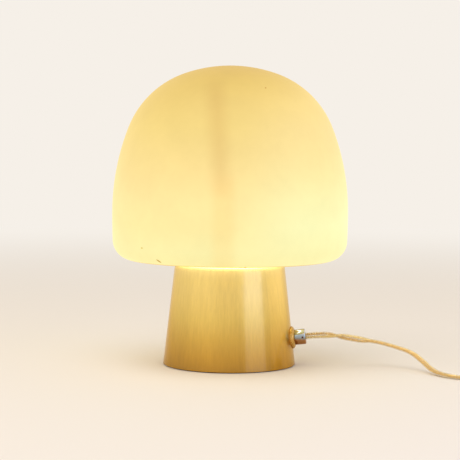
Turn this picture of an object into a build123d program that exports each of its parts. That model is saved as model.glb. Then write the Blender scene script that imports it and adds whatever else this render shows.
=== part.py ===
"""Mushroom table lamp: an alabaster shade lifted off a weighted brass base, with a flat clear flex.

Origin at the middle of the base's underside, +Z up, the cord grip towards +X, millimetres.
"""
from build123d import *
from math import cos, pi, radians, sin, tan
import os

os.makedirs("parts", exist_ok=True)

# ---- driving dimensions ----
TOTAL_HEIGHT = 330.0
SEAT_HEIGHT = 113.3  # where the shade rests
SHADE_WALL = 7.0
CROWN_RADIUS, CROWN_TURN = 153.0, 19.58
SHOULDER_RADIUS, SHOULDER_TURN = 102.5, 49.07
SIDE_RADIUS = 256.5  # turns the outline to the vertical
SKIRT_RADIUS, SKIRT_TURN = 938.0, 1.91
ROLL_RADIUS = 21.5  # the rounded lower edge
UNDERSIDE_SLOPE = 3.45  # degrees, rising outwards
NECK_RADIUS = 42.0  # the hole that passes the bulb

BASE_FOOT_RADIUS = 73.3  # the cone carried down to the table
BASE_TOP_RADIUS = 60.4
BASE_WALL = 1.5
SEAT_RING_THICKNESS = 1.0
FELT_THICKNESS = 1.5
COVER_THICKNESS = 1.5

TUBE_RADIUS, TUBE_BORE = 5.0, 3.5  # M10 tie tube
HOLDER_RADIUS = 20.0
BULB_RADIUS = 30.0
BULB_CAP_RADIUS = 13.0
THREAD_CLEARANCE = 0.35

GRIP_HEIGHT = 30.7
ROSETTE_RADIUS, ROSETTE_RIM, ROSETTE_THICKNESS = 12.5, 1.0, 3.4
BARREL_RADIUS, BARREL_LENGTH, BARREL_ROUND = 8.7, 12.0, 1.5
GRIP_SCREW_RADIUS = 1.1

FLEX_WIDTH = 7.2
WIRE_RADIUS = 1.1
RUN_SHARE = 0.45  # how much of the shorter run an arc takes

# ---- worked out from them ----
FLEX_RADIUS = FLEX_WIDTH / 2
BASE_TILT = (BASE_FOOT_RADIUS - BASE_TOP_RADIUS) / SEAT_HEIGHT
TILT_ANGLE = 6.495  # degrees, the base wall off the vertical
COVER_TOP = FELT_THICKNESS + COVER_THICKNESS
PLATE_TOP = SEAT_HEIGHT - SEAT_RING_THICKNESS
PLATE_UNDER = PLATE_TOP - BASE_WALL


def base_radius(height):
    """Outside radius of the base cone at a height."""
    return BASE_FOOT_RADIUS - BASE_TILT * height


def save(part, name):
    """Labels a finished piece and writes its file."""
    part.label = name
    export_step(part, f"parts/{name}.step")


def ring(low, high, inner, outer):
    """A plain ring about +Z: between two heights and two radii."""
    with BuildPart(Plane.XY.offset(low)) as made:
        with BuildSketch(Plane.XY.offset(low)):
            Circle(outer)
            if inner > 0:
                Circle(inner, mode=Mode.SUBTRACT)
        extrude(amount=high - low)
    return made


def turned(*points):
    """A solid turned about +Z from corner points (radius, height)."""
    with BuildPart() as made:
        with BuildSketch(Plane.XZ):
            with BuildLine():
                Polyline(*points, close=True)
            make_face()
        revolve(axis=Axis.Z)
    return made


def hex_nut(plane, across_flats, thickness, hole_radius):
    """A hexagon nut standing on a plane, its corners eased."""
    with BuildPart() as made:
        with BuildSketch(plane):
            RegularPolygon(across_flats / 2, 6, major_radius=False)
            Circle(hole_radius, mode=Mode.SUBTRACT)
        extrude(amount=thickness)
        with BuildSketch(plane):
            Circle(across_flats / 2 * 1.09)
        extrude(amount=thickness, mode=Mode.INTERSECT)
    return made


# ---- shade ----
def shade_outline(inset):
    """The shade's section from its crown to the neck hole, moved inwards by inset."""
    crown = JernArc((0, TOTAL_HEIGHT - inset), (1, 0), CROWN_RADIUS - inset, -CROWN_TURN)
    shoulder = JernArc(crown @ 1, crown % 1, SHOULDER_RADIUS - inset, -SHOULDER_TURN)
    side_turn = 90 - CROWN_TURN - SHOULDER_TURN
    side = JernArc(shoulder @ 1, shoulder % 1, SIDE_RADIUS - inset, -side_turn)
    skirt = JernArc(side @ 1, side % 1, SKIRT_RADIUS - inset, -SKIRT_TURN)
    roll_turn = 90 - SKIRT_TURN - UNDERSIDE_SLOPE
    roll = JernArc(skirt @ 1, skirt % 1, ROLL_RADIUS - inset, -roll_turn)
    seat = (BASE_TOP_RADIUS, SEAT_HEIGHT + inset)
    Line(roll @ 1, seat)
    Line(seat, (NECK_RADIUS, SEAT_HEIGHT + inset))


with BuildPart() as shade:
    with BuildSketch(Plane.XZ):
        with BuildLine():
            shade_outline(0)
            Line((NECK_RADIUS, SEAT_HEIGHT), (NECK_RADIUS, SEAT_HEIGHT + SHADE_WALL))
            shade_outline(SHADE_WALL)
            Line((0, TOTAL_HEIGHT - SHADE_WALL), (0, TOTAL_HEIGHT))
        make_face()
    revolve(axis=Axis.Z)
    neck_edges = shade.edges().filter_by(GeomType.CIRCLE).filter_by(
        lambda edge: abs(edge.radius - NECK_RADIUS) < 0.01
    )
    fillet(neck_edges, 1.5)
save(shade.part, "shade")

seat_ring = ring(PLATE_TOP, SEAT_HEIGHT, 45, 58.8)
save(seat_ring.part, "seat_ring")

# ---- base shell: a spun cone with a flat top ----
GRIP_RADIUS_AT = base_radius(GRIP_HEIGHT)
grip_plane = Plane(
    origin=(GRIP_RADIUS_AT, 0, GRIP_HEIGHT),
    x_dir=(0, 1, 0),
    z_dir=(cos(radians(TILT_ANGLE)), 0, sin(radians(TILT_ANGLE))),
)


def grip_at(distance):
    """The plane across the cord grip, this far out from the base wall."""
    return grip_plane.offset(distance)


STEM_RADIUS = 6.0
STEM_HOLE = 6.2

with BuildPart() as base_shell:
    with BuildSketch(Plane.XZ):
        with BuildLine():
            Polyline(
                (base_radius(COVER_TOP), COVER_TOP),
                (base_radius(PLATE_TOP), PLATE_TOP),
                (TUBE_RADIUS + 0.2, PLATE_TOP),
                (TUBE_RADIUS + 0.2, PLATE_UNDER),
                (base_radius(PLATE_UNDER) - BASE_WALL, PLATE_UNDER),
                (base_radius(COVER_TOP) - BASE_WALL, COVER_TOP),
                close=True,
            )
        make_face()
    revolve(axis=Axis.Z)
    top_rim = base_shell.edges().filter_by(GeomType.CIRCLE).filter_by(
        lambda edge: abs(edge.radius - base_radius(PLATE_TOP)) < 0.01
    )
    fillet(top_rim, 1.2)
    with BuildSketch(grip_at(-10)):
        Circle(STEM_HOLE)
    extrude(amount=20, mode=Mode.SUBTRACT)
save(base_shell.part, "base_shell")

# ---- base inside: cover, ballast, felt, tie tube and its nuts ----
DISH_TOP = 11.0  # the cover's raised middle, which hides the lower nut
DISH_RADIUS, DISH_FOOT = 18.0, 22.0
COVER_RADIUS = base_radius(COVER_TOP) - 0.5

bottom_cover = turned(
    (TUBE_RADIUS + 0.2, DISH_TOP - COVER_THICKNESS),
    (DISH_RADIUS - 1, DISH_TOP - COVER_THICKNESS),
    (DISH_FOOT - 1, FELT_THICKNESS),
    (COVER_RADIUS, FELT_THICKNESS),
    (COVER_RADIUS, COVER_TOP),
    (DISH_FOOT, COVER_TOP),
    (DISH_RADIUS, DISH_TOP),
    (TUBE_RADIUS + 0.2, DISH_TOP),
)
SCREW_CIRCLE = 45.0
SCREW_COUNT = 3
COVER_SCREW_RADIUS = 2.5
with BuildPart() as bottom_cover_drilled:
    add(bottom_cover.part)
    with Locations(Plane.XY.offset(FELT_THICKNESS).rotated((180, 0, 0))):
        with PolarLocations(SCREW_CIRCLE, SCREW_COUNT):
            Hole(COVER_SCREW_RADIUS + 0.1)
save(bottom_cover_drilled.part, "bottom_cover")

BALLAST_INNER, BALLAST_OUTER, BALLAST_TOP = 25.0, 66.0, 19.0
with BuildPart() as ballast:
    add(ring(COVER_TOP, BALLAST_TOP, BALLAST_INNER, BALLAST_OUTER).part)
    top_edges = ballast.edges().group_by(Axis.Z)[-1]
    chamfer(top_edges, 1.5)
    with BuildSketch(Plane.XY.offset(COVER_TOP)):
        with PolarLocations(SCREW_CIRCLE, SCREW_COUNT):
            Circle(COVER_SCREW_RADIUS)
    extrude(amount=9, mode=Mode.SUBTRACT)
CLAMP_AT, CLAMP_SPAN = 46.0, 9.0  # clamp's distance from the axis, and its screws off the middle
with BuildPart() as ballast_tapped:
    add(ballast.part)
    with BuildSketch(Plane.XY.offset(BALLAST_TOP)):
        with Locations((CLAMP_AT, -CLAMP_SPAN), (CLAMP_AT, CLAMP_SPAN)):
            Circle(1.6)
    extrude(amount=-7, mode=Mode.SUBTRACT)
save(ballast_tapped.part, "ballast")

with BuildPart() as cover_screws:
    with BuildSketch(Plane.XY.offset(FELT_THICKNESS)):
        with PolarLocations(SCREW_CIRCLE, SCREW_COUNT):
            Circle(COVER_SCREW_RADIUS)
    extrude(amount=10)
    with BuildSketch(Plane.XY.offset(FELT_THICKNESS)):
        with PolarLocations(SCREW_CIRCLE, SCREW_COUNT):
            Circle(4.2)
    extrude(amount=-1.2)
save(cover_screws.part, "cover_screws")

with BuildPart() as felt_pad:
    add(ring(0, FELT_THICKNESS, DISH_FOOT - 1, COVER_RADIUS - 2.5).part)
    with BuildSketch(Plane.XY.offset(FELT_THICKNESS)):
        with PolarLocations(SCREW_CIRCLE, SCREW_COUNT):
            Circle(4.6)
    extrude(amount=-1.3, mode=Mode.SUBTRACT)
save(felt_pad.part, "felt_pad")

TUBE_LOW, TUBE_HIGH = 3.0, 122.0
WINDOW_LOW, WINDOW_HIGH = 54.0, 84.0  # where the wires enter the tube
with BuildPart() as tie_tube:
    add(ring(TUBE_LOW, TUBE_HIGH, TUBE_BORE, TUBE_RADIUS).part)
    with Locations((TUBE_RADIUS, 0, (WINDOW_LOW + WINDOW_HIGH) / 2)):
        Box(2 * TUBE_RADIUS, 5.6, WINDOW_HIGH - WINDOW_LOW, mode=Mode.SUBTRACT)
save(tie_tube.part, "tie_tube")

NUT_FLATS = 14.0
WASHER_RADIUS = 11.0
dish_under = DISH_TOP - COVER_THICKNESS
save(ring(dish_under - 1.4, dish_under, TUBE_RADIUS + 0.15, WASHER_RADIUS).part, "lower_washer")
lower_nut = hex_nut(Plane.XY.offset(dish_under - 1.4 - 4.6), NUT_FLATS, 4.6, TUBE_RADIUS)
save(lower_nut.part, "lower_nut")
save(ring(PLATE_UNDER - 1.4, PLATE_UNDER, TUBE_RADIUS + 0.15, WASHER_RADIUS).part, "upper_washer")
upper_nut = hex_nut(Plane.XY.offset(PLATE_UNDER - 1.4 - 5), NUT_FLATS, 5, TUBE_RADIUS)
save(upper_nut.part, "upper_nut")

# ---- gallery: the cup that centres the shade's neck ----
GALLERY_RADIUS, GALLERY_WALL, GALLERY_HIGH = 40.5, 1.2, 124.0
gallery_floor = PLATE_TOP + GALLERY_WALL
gallery_ring = turned(
    (TUBE_RADIUS + 0.2, PLATE_TOP),
    (GALLERY_RADIUS, PLATE_TOP),
    (GALLERY_RADIUS, GALLERY_HIGH),
    (GALLERY_RADIUS - GALLERY_WALL, GALLERY_HIGH),
    (GALLERY_RADIUS - GALLERY_WALL, gallery_floor),
    (TUBE_RADIUS + 0.2, gallery_floor),
)
save(gallery_ring.part, "gallery_ring")
gallery_nut = hex_nut(Plane.XY.offset(gallery_floor), NUT_FLATS, 3.2, TUBE_RADIUS)
save(gallery_nut.part, "gallery_nut")

# ---- lampholder ----
CAP_LOW = gallery_floor + 3.2
CAP_HIGH = CAP_LOW + 21
CAP_WALL = 1.8
DOME_LOW = CAP_LOW + 7
with BuildPart() as holder_cap:
    with BuildSketch(Plane.XZ):
        with BuildLine():
            Polyline(
                (TUBE_RADIUS, CAP_LOW),
                (9, CAP_LOW),
                (9, DOME_LOW),
                (HOLDER_RADIUS, DOME_LOW + 7),
                (HOLDER_RADIUS, CAP_HIGH),
                (HOLDER_RADIUS - CAP_WALL, CAP_HIGH),
                (HOLDER_RADIUS - CAP_WALL, DOME_LOW + 8),
                (9, DOME_LOW + 2),
                (TUBE_RADIUS, DOME_LOW + 2),
                close=True,
            )
        make_face()
    revolve(axis=Axis.Z)
    with BuildSketch(Plane.XZ.offset(4)):
        with Locations((0, CAP_LOW + 3.5)):
            Circle(1.5)
    extrude(amount=8, mode=Mode.SUBTRACT)
save(holder_cap.part, "holder_cap")

with BuildPart() as holder_grub_screw:
    with BuildSketch(Plane.XZ.offset(TUBE_RADIUS + 0.02)):
        with Locations((0, CAP_LOW + 3.5)):
            Circle(1.5)
    extrude(amount=4.4)
    with BuildSketch(Plane.XZ.offset(TUBE_RADIUS + 4.42)):
        with Locations((0, CAP_LOW + 3.5)):
            Rectangle(2.2, 0.5)
    extrude(amount=-0.8, mode=Mode.SUBTRACT)
save(holder_grub_screw.part, "holder_grub_screw")

CORE_LOW = CAP_HIGH + 0.2
CORE_FLOOR = CORE_LOW + 7
CORE_HIGH = CORE_LOW + 27
SHELL_INNER = BULB_CAP_RADIUS + THREAD_CLEARANCE
SHELL_OUTER = SHELL_INNER + 0.5
CORE_OUTER = 17.4
with BuildPart() as holder_insulator:
    add(ring(CORE_LOW, CORE_HIGH, 0, CORE_OUTER).part)
    with BuildSketch(Plane.XY.offset(CORE_FLOOR)):
        Circle(SHELL_OUTER + 0.05)
    extrude(amount=CORE_HIGH - CORE_FLOOR, mode=Mode.SUBTRACT)
    with BuildSketch(Plane.XY.offset(CORE_LOW)):
        with Locations((0, 9.5), (0, -9.5)):
            Rectangle(6.4, 6.4)
    extrude(amount=3.2, mode=Mode.SUBTRACT)
save(holder_insulator.part, "holder_insulator")

with BuildPart() as holder_skirt:
    with BuildSketch(Plane.XZ):
        with BuildLine():
            Polyline(
                (HOLDER_RADIUS - 2, CAP_HIGH + 0.1),
                (HOLDER_RADIUS, CAP_HIGH + 0.1),
                (HOLDER_RADIUS, CORE_HIGH + 2),
                (SHELL_INNER + 1.0, CORE_HIGH + 2),
                (SHELL_INNER + 1.0, CORE_HIGH + 0.3),
                (HOLDER_RADIUS - 2, CORE_HIGH + 0.3),
                close=True,
            )
        make_face()
    revolve(axis=Axis.Z)
    top_circles = holder_skirt.edges().filter_by(GeomType.CIRCLE).group_by(Axis.Z)[-1]
    fillet(top_circles.sort_by(SortBy.RADIUS)[-1], 1.2)
save(holder_skirt.part, "holder_skirt")

save(ring(CORE_FLOOR, CORE_HIGH - 1, SHELL_INNER, SHELL_OUTER).part, "holder_shell")

TONGUE_TOP = CORE_FLOOR + 2.6
with BuildPart() as holder_tongue:
    with BuildSketch(Plane.XZ.offset(-2.5)):
        with BuildLine():
            Polyline(
                (10, CORE_FLOOR),
                (10, CORE_FLOOR + 0.5),
                (3, TONGUE_TOP),
                (-3, TONGUE_TOP),
                (-3, TONGUE_TOP - 0.5),
                (2.7, TONGUE_TOP - 0.5),
                (9, CORE_FLOOR),
                close=True,
            )
        make_face()
    extrude(amount=5)
save(holder_tongue.part, "holder_tongue")

TERMINAL_AT = 9.5
TERMINAL_LOW = CORE_LOW - 3.2
TERMINAL_SCREW_HEIGHT = CORE_LOW - 2.2
with BuildPart() as holder_terminals:
    with Locations((0, TERMINAL_AT, CORE_LOW), (0, -TERMINAL_AT, CORE_LOW)):
        Box(6, 6, 6.4)
    with BuildSketch(Plane.XZ.offset(-20)):
        with Locations((0, TERMINAL_SCREW_HEIGHT)):
            Circle(0.85)
    extrude(amount=40, mode=Mode.SUBTRACT)
save(holder_terminals.part, "holder_terminals")

with BuildPart() as terminal_screws:
    for side in (-1, 1):
        shank = Plane(origin=(0, side * 9.9, TERMINAL_SCREW_HEIGHT), z_dir=(0, side, 0))
        with BuildSketch(shank):
            Circle(0.85)
        extrude(amount=2.6)
        with BuildSketch(shank.offset(2.6)):
            Circle(2.1)
        extrude(amount=1.4)
save(terminal_screws.part, "terminal_screws")

# ---- bulb ----
CONTACT_LOW = TONGUE_TOP + 0.05
CAP_SHELL_LOW = CONTACT_LOW + 4.2
CAP_SHELL_HIGH = CAP_SHELL_LOW + 19
with BuildPart() as bulb_contact:
    with BuildSketch(Plane.XY.offset(CONTACT_LOW)):
        Circle(4.2)
    extrude(amount=1.4)
    fillet(bulb_contact.edges().group_by(Axis.Z)[0], 0.6)
save(bulb_contact.part, "bulb_contact")

bulb_insulator = turned(
    (0, CONTACT_LOW + 1.5),
    (5.5, CONTACT_LOW + 1.5),
    (10.5, CAP_SHELL_LOW),
    (10.5, CAP_SHELL_LOW + 1.2),
    (0, CAP_SHELL_LOW + 1.2),
)
save(bulb_insulator.part, "bulb_insulator")

with BuildPart() as bulb_cap:
    with BuildSketch(Plane.XZ):
        with BuildLine():
            Polyline(
                (10.5, CAP_SHELL_LOW),
                (BULB_CAP_RADIUS, CAP_SHELL_LOW + 2.5),
                (BULB_CAP_RADIUS, CAP_SHELL_HIGH),
                (BULB_CAP_RADIUS - 0.5, CAP_SHELL_HIGH),
                (BULB_CAP_RADIUS - 0.5, CAP_SHELL_LOW + 3),
                (10.6, CAP_SHELL_LOW + 1.2),
                (10.5, CAP_SHELL_LOW + 1.2),
                close=True,
            )
        make_face()
    revolve(axis=Axis.Z)
save(bulb_cap.part, "bulb_cap")

GLASS_LOW = CAP_SHELL_LOW + 8
GLASS_WALL = 0.8
NECK_GLASS = BULB_CAP_RADIUS - 0.6
BULB_CENTRE = CAP_SHELL_HIGH + 51


def glass_outline(inset):
    """The bulb's glass from its neck to its crown, moved inwards by inset."""
    ball = BULB_RADIUS - inset
    neck = (NECK_GLASS - inset, CAP_SHELL_HIGH - 2)
    widest_foot = (ball * cos(radians(-28)), BULB_CENTRE + ball * sin(radians(-28)))
    Line((NECK_GLASS - inset, GLASS_LOW), neck)
    Spline(neck, widest_foot, tangents=((0, 1), (sin(radians(28)), cos(radians(28)))))
    CenterArc((0, BULB_CENTRE), ball, -28, 118)


with BuildPart() as bulb_globe:
    with BuildSketch(Plane.XZ):
        with BuildLine():
            glass_outline(0)
            Line((0, BULB_CENTRE + BULB_RADIUS), (0, BULB_CENTRE + BULB_RADIUS - GLASS_WALL))
            glass_outline(GLASS_WALL)
            Line((NECK_GLASS - GLASS_WALL, GLASS_LOW), (NECK_GLASS, GLASS_LOW))
        make_face()
    revolve(axis=Axis.Z)
save(bulb_globe.part, "bulb_globe")

STEM_HIGH = CAP_SHELL_HIGH + 33
bulb_stem = turned(
    (0, GLASS_LOW + 1),
    (NECK_GLASS - GLASS_WALL - 0.1, GLASS_LOW + 1),
    (NECK_GLASS - GLASS_WALL - 0.1, GLASS_LOW + 4),
    (4, GLASS_LOW + 14),
    (3, STEM_HIGH - 16),
    (1.6, STEM_HIGH - 10),
    (1.6, STEM_HIGH),
    (0, STEM_HIGH),
)
save(bulb_stem.part, "bulb_stem")

FILAMENT_FOOT, FILAMENT_HEAD = STEM_HIGH - 2, STEM_HIGH + 37
FILAMENT_CIRCLE_LOW, FILAMENT_CIRCLE_HIGH = 9.0, 5.0
with BuildPart() as bulb_filaments:
    for quarter in range(4):
        turn = radians(45 + 90 * quarter)
        outwards = Vector(cos(turn), sin(turn), 0)
        foot = outwards * FILAMENT_CIRCLE_LOW + Vector(0, 0, FILAMENT_FOOT)
        head = outwards * FILAMENT_CIRCLE_HIGH + Vector(0, 0, FILAMENT_HEAD)
        with BuildSketch(Plane(origin=foot, z_dir=head - foot)):
            Circle(0.9)
        extrude(amount=(head - foot).length)
save(bulb_filaments.part, "bulb_filaments")

# ---- cord grip: a domed rosette that fits the cone, and a barrel screwed to its stem ----
grip_axis = Axis(grip_plane.origin, grip_plane.z_dir)
grip_section = Plane(origin=grip_plane.origin, x_dir=grip_plane.z_dir, z_dir=(0, -1, 0))
DOME_EDGE = BARREL_RADIUS + 0.5
with BuildPart() as grip_rosette:
    with BuildSketch(grip_section):
        with BuildLine():
            Polyline(
                (ROSETTE_THICKNESS, DOME_EDGE),
                (ROSETTE_THICKNESS, STEM_HOLE),
                (-2, STEM_HOLE),
                (-2, ROSETTE_RADIUS),
                (ROSETTE_RIM, ROSETTE_RADIUS),
            )
            ThreePointArc(
                (ROSETTE_RIM, ROSETTE_RADIUS),
                (ROSETTE_THICKNESS - 0.8, ROSETTE_RADIUS - 1.2),
                (ROSETTE_THICKNESS, DOME_EDGE),
            )
        make_face()
    revolve(axis=grip_axis)
    add(
        turned(
            (0, 0),
            (base_radius(0), 0),
            (base_radius(60), 60),
            (0, 60),
        ).part,
        mode=Mode.SUBTRACT,
    )
save(grip_rosette.part, "grip_rosette")

BUSH_FROM, BUSH_TO = 10.2, 14.0
FLEX_HOLE = FLEX_RADIUS + 0.25
barrel_end = ROSETTE_THICKNESS + BARREL_LENGTH
with BuildPart() as grip_barrel:
    with BuildSketch(grip_at(ROSETTE_THICKNESS)):
        Circle(BARREL_RADIUS)
    extrude(amount=BARREL_LENGTH)
    rims = grip_barrel.edges().filter_by(GeomType.CIRCLE).sort_by(Axis.X)
    fillet(rims[-1], BARREL_ROUND)
    chamfer(grip_barrel.edges().filter_by(GeomType.CIRCLE).sort_by(Axis.X)[0], 0.5)
    with BuildSketch(grip_at(ROSETTE_THICKNESS)):
        Circle(STEM_RADIUS)
    extrude(amount=BUSH_TO + 0.1 - ROSETTE_THICKNESS, mode=Mode.SUBTRACT)
    with BuildSketch(grip_at(ROSETTE_THICKNESS)):
        Circle(FLEX_HOLE)
    extrude(amount=BARREL_LENGTH, mode=Mode.SUBTRACT)
    screw_plane = Plane(
        origin=grip_at((BUSH_FROM + BUSH_TO) / 2).origin,
        x_dir=grip_plane.z_dir,
        z_dir=(0, -1, 0),
    )
    with BuildSketch(screw_plane):
        Circle(GRIP_SCREW_RADIUS)
    extrude(amount=10, mode=Mode.SUBTRACT)
save(grip_barrel.part, "grip_barrel")

with BuildPart() as grip_screw:
    with BuildSketch(screw_plane.offset(STEM_RADIUS)):
        Circle(GRIP_SCREW_RADIUS)
    extrude(amount=2.1)
    with BuildSketch(screw_plane.offset(STEM_RADIUS + 2.1)):
        Rectangle(1.6, 0.4)
    extrude(amount=-0.7, mode=Mode.SUBTRACT)
save(grip_screw.part, "grip_screw")

with BuildPart() as grip_bush:
    with BuildSketch(grip_at(BUSH_FROM)):
        Circle(STEM_RADIUS - 0.02)
        Circle(FLEX_RADIUS + 0.02, mode=Mode.SUBTRACT)
        with Locations((STEM_RADIUS, 0)):
            Rectangle(STEM_RADIUS, 1.2, mode=Mode.SUBTRACT)
    extrude(amount=BUSH_TO - BUSH_FROM)
save(grip_bush.part, "grip_bush")

STEM_BORE = 4.4
STEM_FROM = -12.0
with BuildPart() as grip_stem:
    with BuildSketch(grip_at(STEM_FROM)):
        Circle(STEM_RADIUS)
        Circle(STEM_BORE, mode=Mode.SUBTRACT)
    extrude(amount=BUSH_FROM - 0.05 - STEM_FROM)
save(grip_stem.part, "grip_stem")

WASHER_FROM = -4.0
with BuildPart() as grip_washer:
    with BuildSketch(grip_at(WASHER_FROM)):
        Circle(10)
        Circle(STEM_RADIUS + 0.1, mode=Mode.SUBTRACT)
    extrude(amount=1.5)
save(grip_washer.part, "grip_washer")
save(hex_nut(grip_at(WASHER_FROM - 4.5), 17, 4.5, STEM_RADIUS).part, "grip_nut")

# ---- inside the base: flex, clamp and the two wires ----
SHEATH_END = -34.0
with BuildPart() as inner_flex:
    with BuildSketch(grip_at(SHEATH_END)):
        Circle(FLEX_RADIUS)
    extrude(amount=barrel_end - SHEATH_END)
save(inner_flex.part, "inner_flex")

flex_drop = (GRIP_RADIUS_AT - CLAMP_AT) * tan(radians(TILT_ANGLE))
CLAMP_AXIS = GRIP_HEIGHT - flex_drop
CLAMP_HALF_LENGTH, CLAMP_HALF_WIDTH = 5.0, 13.0
BAR_THICKNESS = 5.0


def clamp_block(low, high):
    """A block across the flex, grooved to fit it and drilled for its two screws."""
    with BuildPart() as made:
        with BuildSketch(Plane.XY.offset(low)):
            with Locations((CLAMP_AT, 0)):
                RectangleRounded(2 * CLAMP_HALF_LENGTH, 2 * CLAMP_HALF_WIDTH, 1.5)
            with Locations((CLAMP_AT, -CLAMP_SPAN), (CLAMP_AT, CLAMP_SPAN)):
                Circle(1.7, mode=Mode.SUBTRACT)
        extrude(amount=high - low)
        with BuildSketch(grip_at(SHEATH_END)):
            Circle(FLEX_RADIUS + 0.1)
        extrude(amount=40, mode=Mode.SUBTRACT)
    return made


save(clamp_block(BALLAST_TOP, CLAMP_AXIS - 0.8).part, "clamp_base")
CLAMP_TOP = CLAMP_AXIS + BAR_THICKNESS
save(clamp_block(CLAMP_AXIS + 0.8, CLAMP_TOP).part, "clamp_bar")

with BuildPart() as clamp_screws:
    with BuildSketch(Plane.XY.offset(CLAMP_TOP)):
        with Locations((CLAMP_AT, -CLAMP_SPAN), (CLAMP_AT, CLAMP_SPAN)):
            Circle(3)
    extrude(amount=2)
    with BuildSketch(Plane.XY.offset(CLAMP_TOP)):
        with Locations((CLAMP_AT, -CLAMP_SPAN), (CLAMP_AT, CLAMP_SPAN)):
            Circle(1.6)
    extrude(amount=BALLAST_TOP - 6 - CLAMP_TOP)
save(clamp_screws.part, "clamp_screws")


def swept(points, radii, radius, name):
    """A round cord along straight runs joined by tangent arcs."""
    with BuildPart() as made:
        with BuildLine() as line:
            FilletPolyline(*points, radius=radii)
        path = line.wires()[0]
        with BuildSketch(Plane(origin=path @ 0, z_dir=path % 0)):
            Circle(radius)
        sweep(path=path)
    drawn = path.length
    ratio = made.part.volume / (pi * radius**2 * drawn)
    print(f"{name}: length {drawn:.1f}, volume ratio {ratio:.4f}, radii {[round(r) for r in radii]}")
    save(made.part, name)
    return path


WIRE_OFFSET = 1.25
for name, side in (("live_wire", -1), ("neutral_wire", 1)):
    aside = Vector(0, side * WIRE_OFFSET, 0)
    wire_points = [
        grip_at(SHEATH_END).origin + aside,
        grip_at(SHEATH_END - 11).origin + aside,
        aside + Vector(13, 0, 47),
        aside + Vector(6, 0, 62),
        aside + Vector(0, 0, 80),
        aside + Vector(0, 0, 124.4),
        (0, side * TERMINAL_AT, 131.5),
        (0, side * TERMINAL_AT, TERMINAL_LOW),
    ]
    swept(wire_points, [5, 25, 25, 12, 3.2, 2.4], WIRE_RADIUS, name)


# ---- the flex outside ----
def turn_radii(points):
    """As large an arc at each corner as its two runs allow."""
    radii = []
    for before, here, after in zip(points, points[1:], points[2:]):
        arriving = Vector(here) - Vector(before)
        leaving = Vector(after) - Vector(here)
        turn = arriving.get_angle(leaving)
        shorter = min(arriving.length, leaving.length)
        radii.append(RUN_SHARE * shorter / tan(radians(turn / 2)))
    return radii


# The stretch from the grip to the switch: up, over, down to the table and round.
LEAD_ROUTE = [
    (85.1, 0, 32.4),
    (103.7, 0, 34.6),
    (123.4, 0.4, 33.2),
    (144.3, 0.6, 29.8),
    (164.7, -0.7, 27.7),
    (184.4, -5.3, 23.1),
    (201.3, -14.3, 18.9),
    (213.0, -27.2, 11.4),
    (221.0, -42.5, 5.6),
    (231.0, -61.0, 3.7),
    (247.4, -77.8, 3.6),
    (269.6, -84.8, 3.6),
    (293.6, -80.4, 4.0),
    (315.4, -74.0, 6.6),
    (331.4, -71.6, 8.5),
]
LEAD_ROUTE[:2] = [grip_at(barrel_end).origin, grip_at(barrel_end + 18.7).origin]
swept(LEAD_ROUTE, turn_radii(LEAD_ROUTE), FLEX_RADIUS, "flex_lead")

# ---- inline switch, lying on the table ----
SWITCH_PLACE = (363.3, -68.5, 0)
REST_TURN = 5.5  # degrees, how the switch and the plug lie in plan
SWITCH_LENGTH, SWITCH_WIDTH, SWITCH_HEIGHT = 64.0, 26.0, 17.0
SWITCH_WALL = 2.0
SPLIT_HEIGHT = SWITCH_HEIGHT / 2
ALONG = (cos(radians(REST_TURN)), sin(radians(REST_TURN)), 0)
switch_floor = Plane(origin=SWITCH_PLACE, x_dir=ALONG, z_dir=(0, 0, 1))


def switch_plane(height):
    """The level plane through the switch at a height."""
    return switch_floor.offset(height)


def switch_side(shift):
    """The upright plane along the switch, shifted sideways from its middle."""
    across = switch_floor.y_dir
    return Plane(
        origin=switch_floor.origin - across * shift,
        x_dir=ALONG,
        z_dir=across * -1,
    )


SHELL_SCREWS = ((-19.0, 5.5), (19.0, 5.5))
SHELL_SCREW_RADIUS = 1.4
ROCKER_PIVOT = 13.2
ROCKER_TILT = 9.0
PIN_RADIUS = 1.5

with BuildPart() as switch_body:
    with BuildSketch(switch_plane(0)):
        RectangleRounded(SWITCH_LENGTH, SWITCH_WIDTH, 11.5)
    extrude(amount=SWITCH_HEIGHT)
    fillet(switch_body.edges().group_by(Axis.Z)[-1], 4.5)
    fillet(switch_body.edges().group_by(Axis.Z)[0], 2)

with BuildPart() as switch_cavity:
    with BuildSketch(switch_plane(SWITCH_WALL)):
        RectangleRounded(SWITCH_LENGTH - 12, SWITCH_WIDTH - 2 * SWITCH_WALL - 2, 9)
    extrude(amount=SWITCH_HEIGHT - 2 * SWITCH_WALL)
    with BuildSketch(switch_plane(0)):
        with Locations(*SHELL_SCREWS):
            Circle(3)
    extrude(amount=SWITCH_HEIGHT, mode=Mode.SUBTRACT)

with BuildPart() as switch_lower:
    add(switch_body.part)
    add(switch_cavity.part, mode=Mode.SUBTRACT)
    split(bisect_by=switch_plane(SPLIT_HEIGHT), keep=Keep.BOTTOM)
    with BuildSketch(Plane(origin=switch_plane(SPLIT_HEIGHT).origin, z_dir=ALONG).offset(-40)):
        Circle(FLEX_RADIUS)
    extrude(amount=80, mode=Mode.SUBTRACT)
    with BuildSketch(switch_plane(0)):
        with Locations(*SHELL_SCREWS):
            Circle(2.8)
    extrude(amount=1.8, mode=Mode.SUBTRACT)
    with BuildSketch(switch_plane(0)):
        with Locations(*SHELL_SCREWS):
            Circle(SHELL_SCREW_RADIUS + 0.1)
    extrude(amount=SWITCH_HEIGHT, mode=Mode.SUBTRACT)
save(switch_lower.part, "switch_lower")

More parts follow.
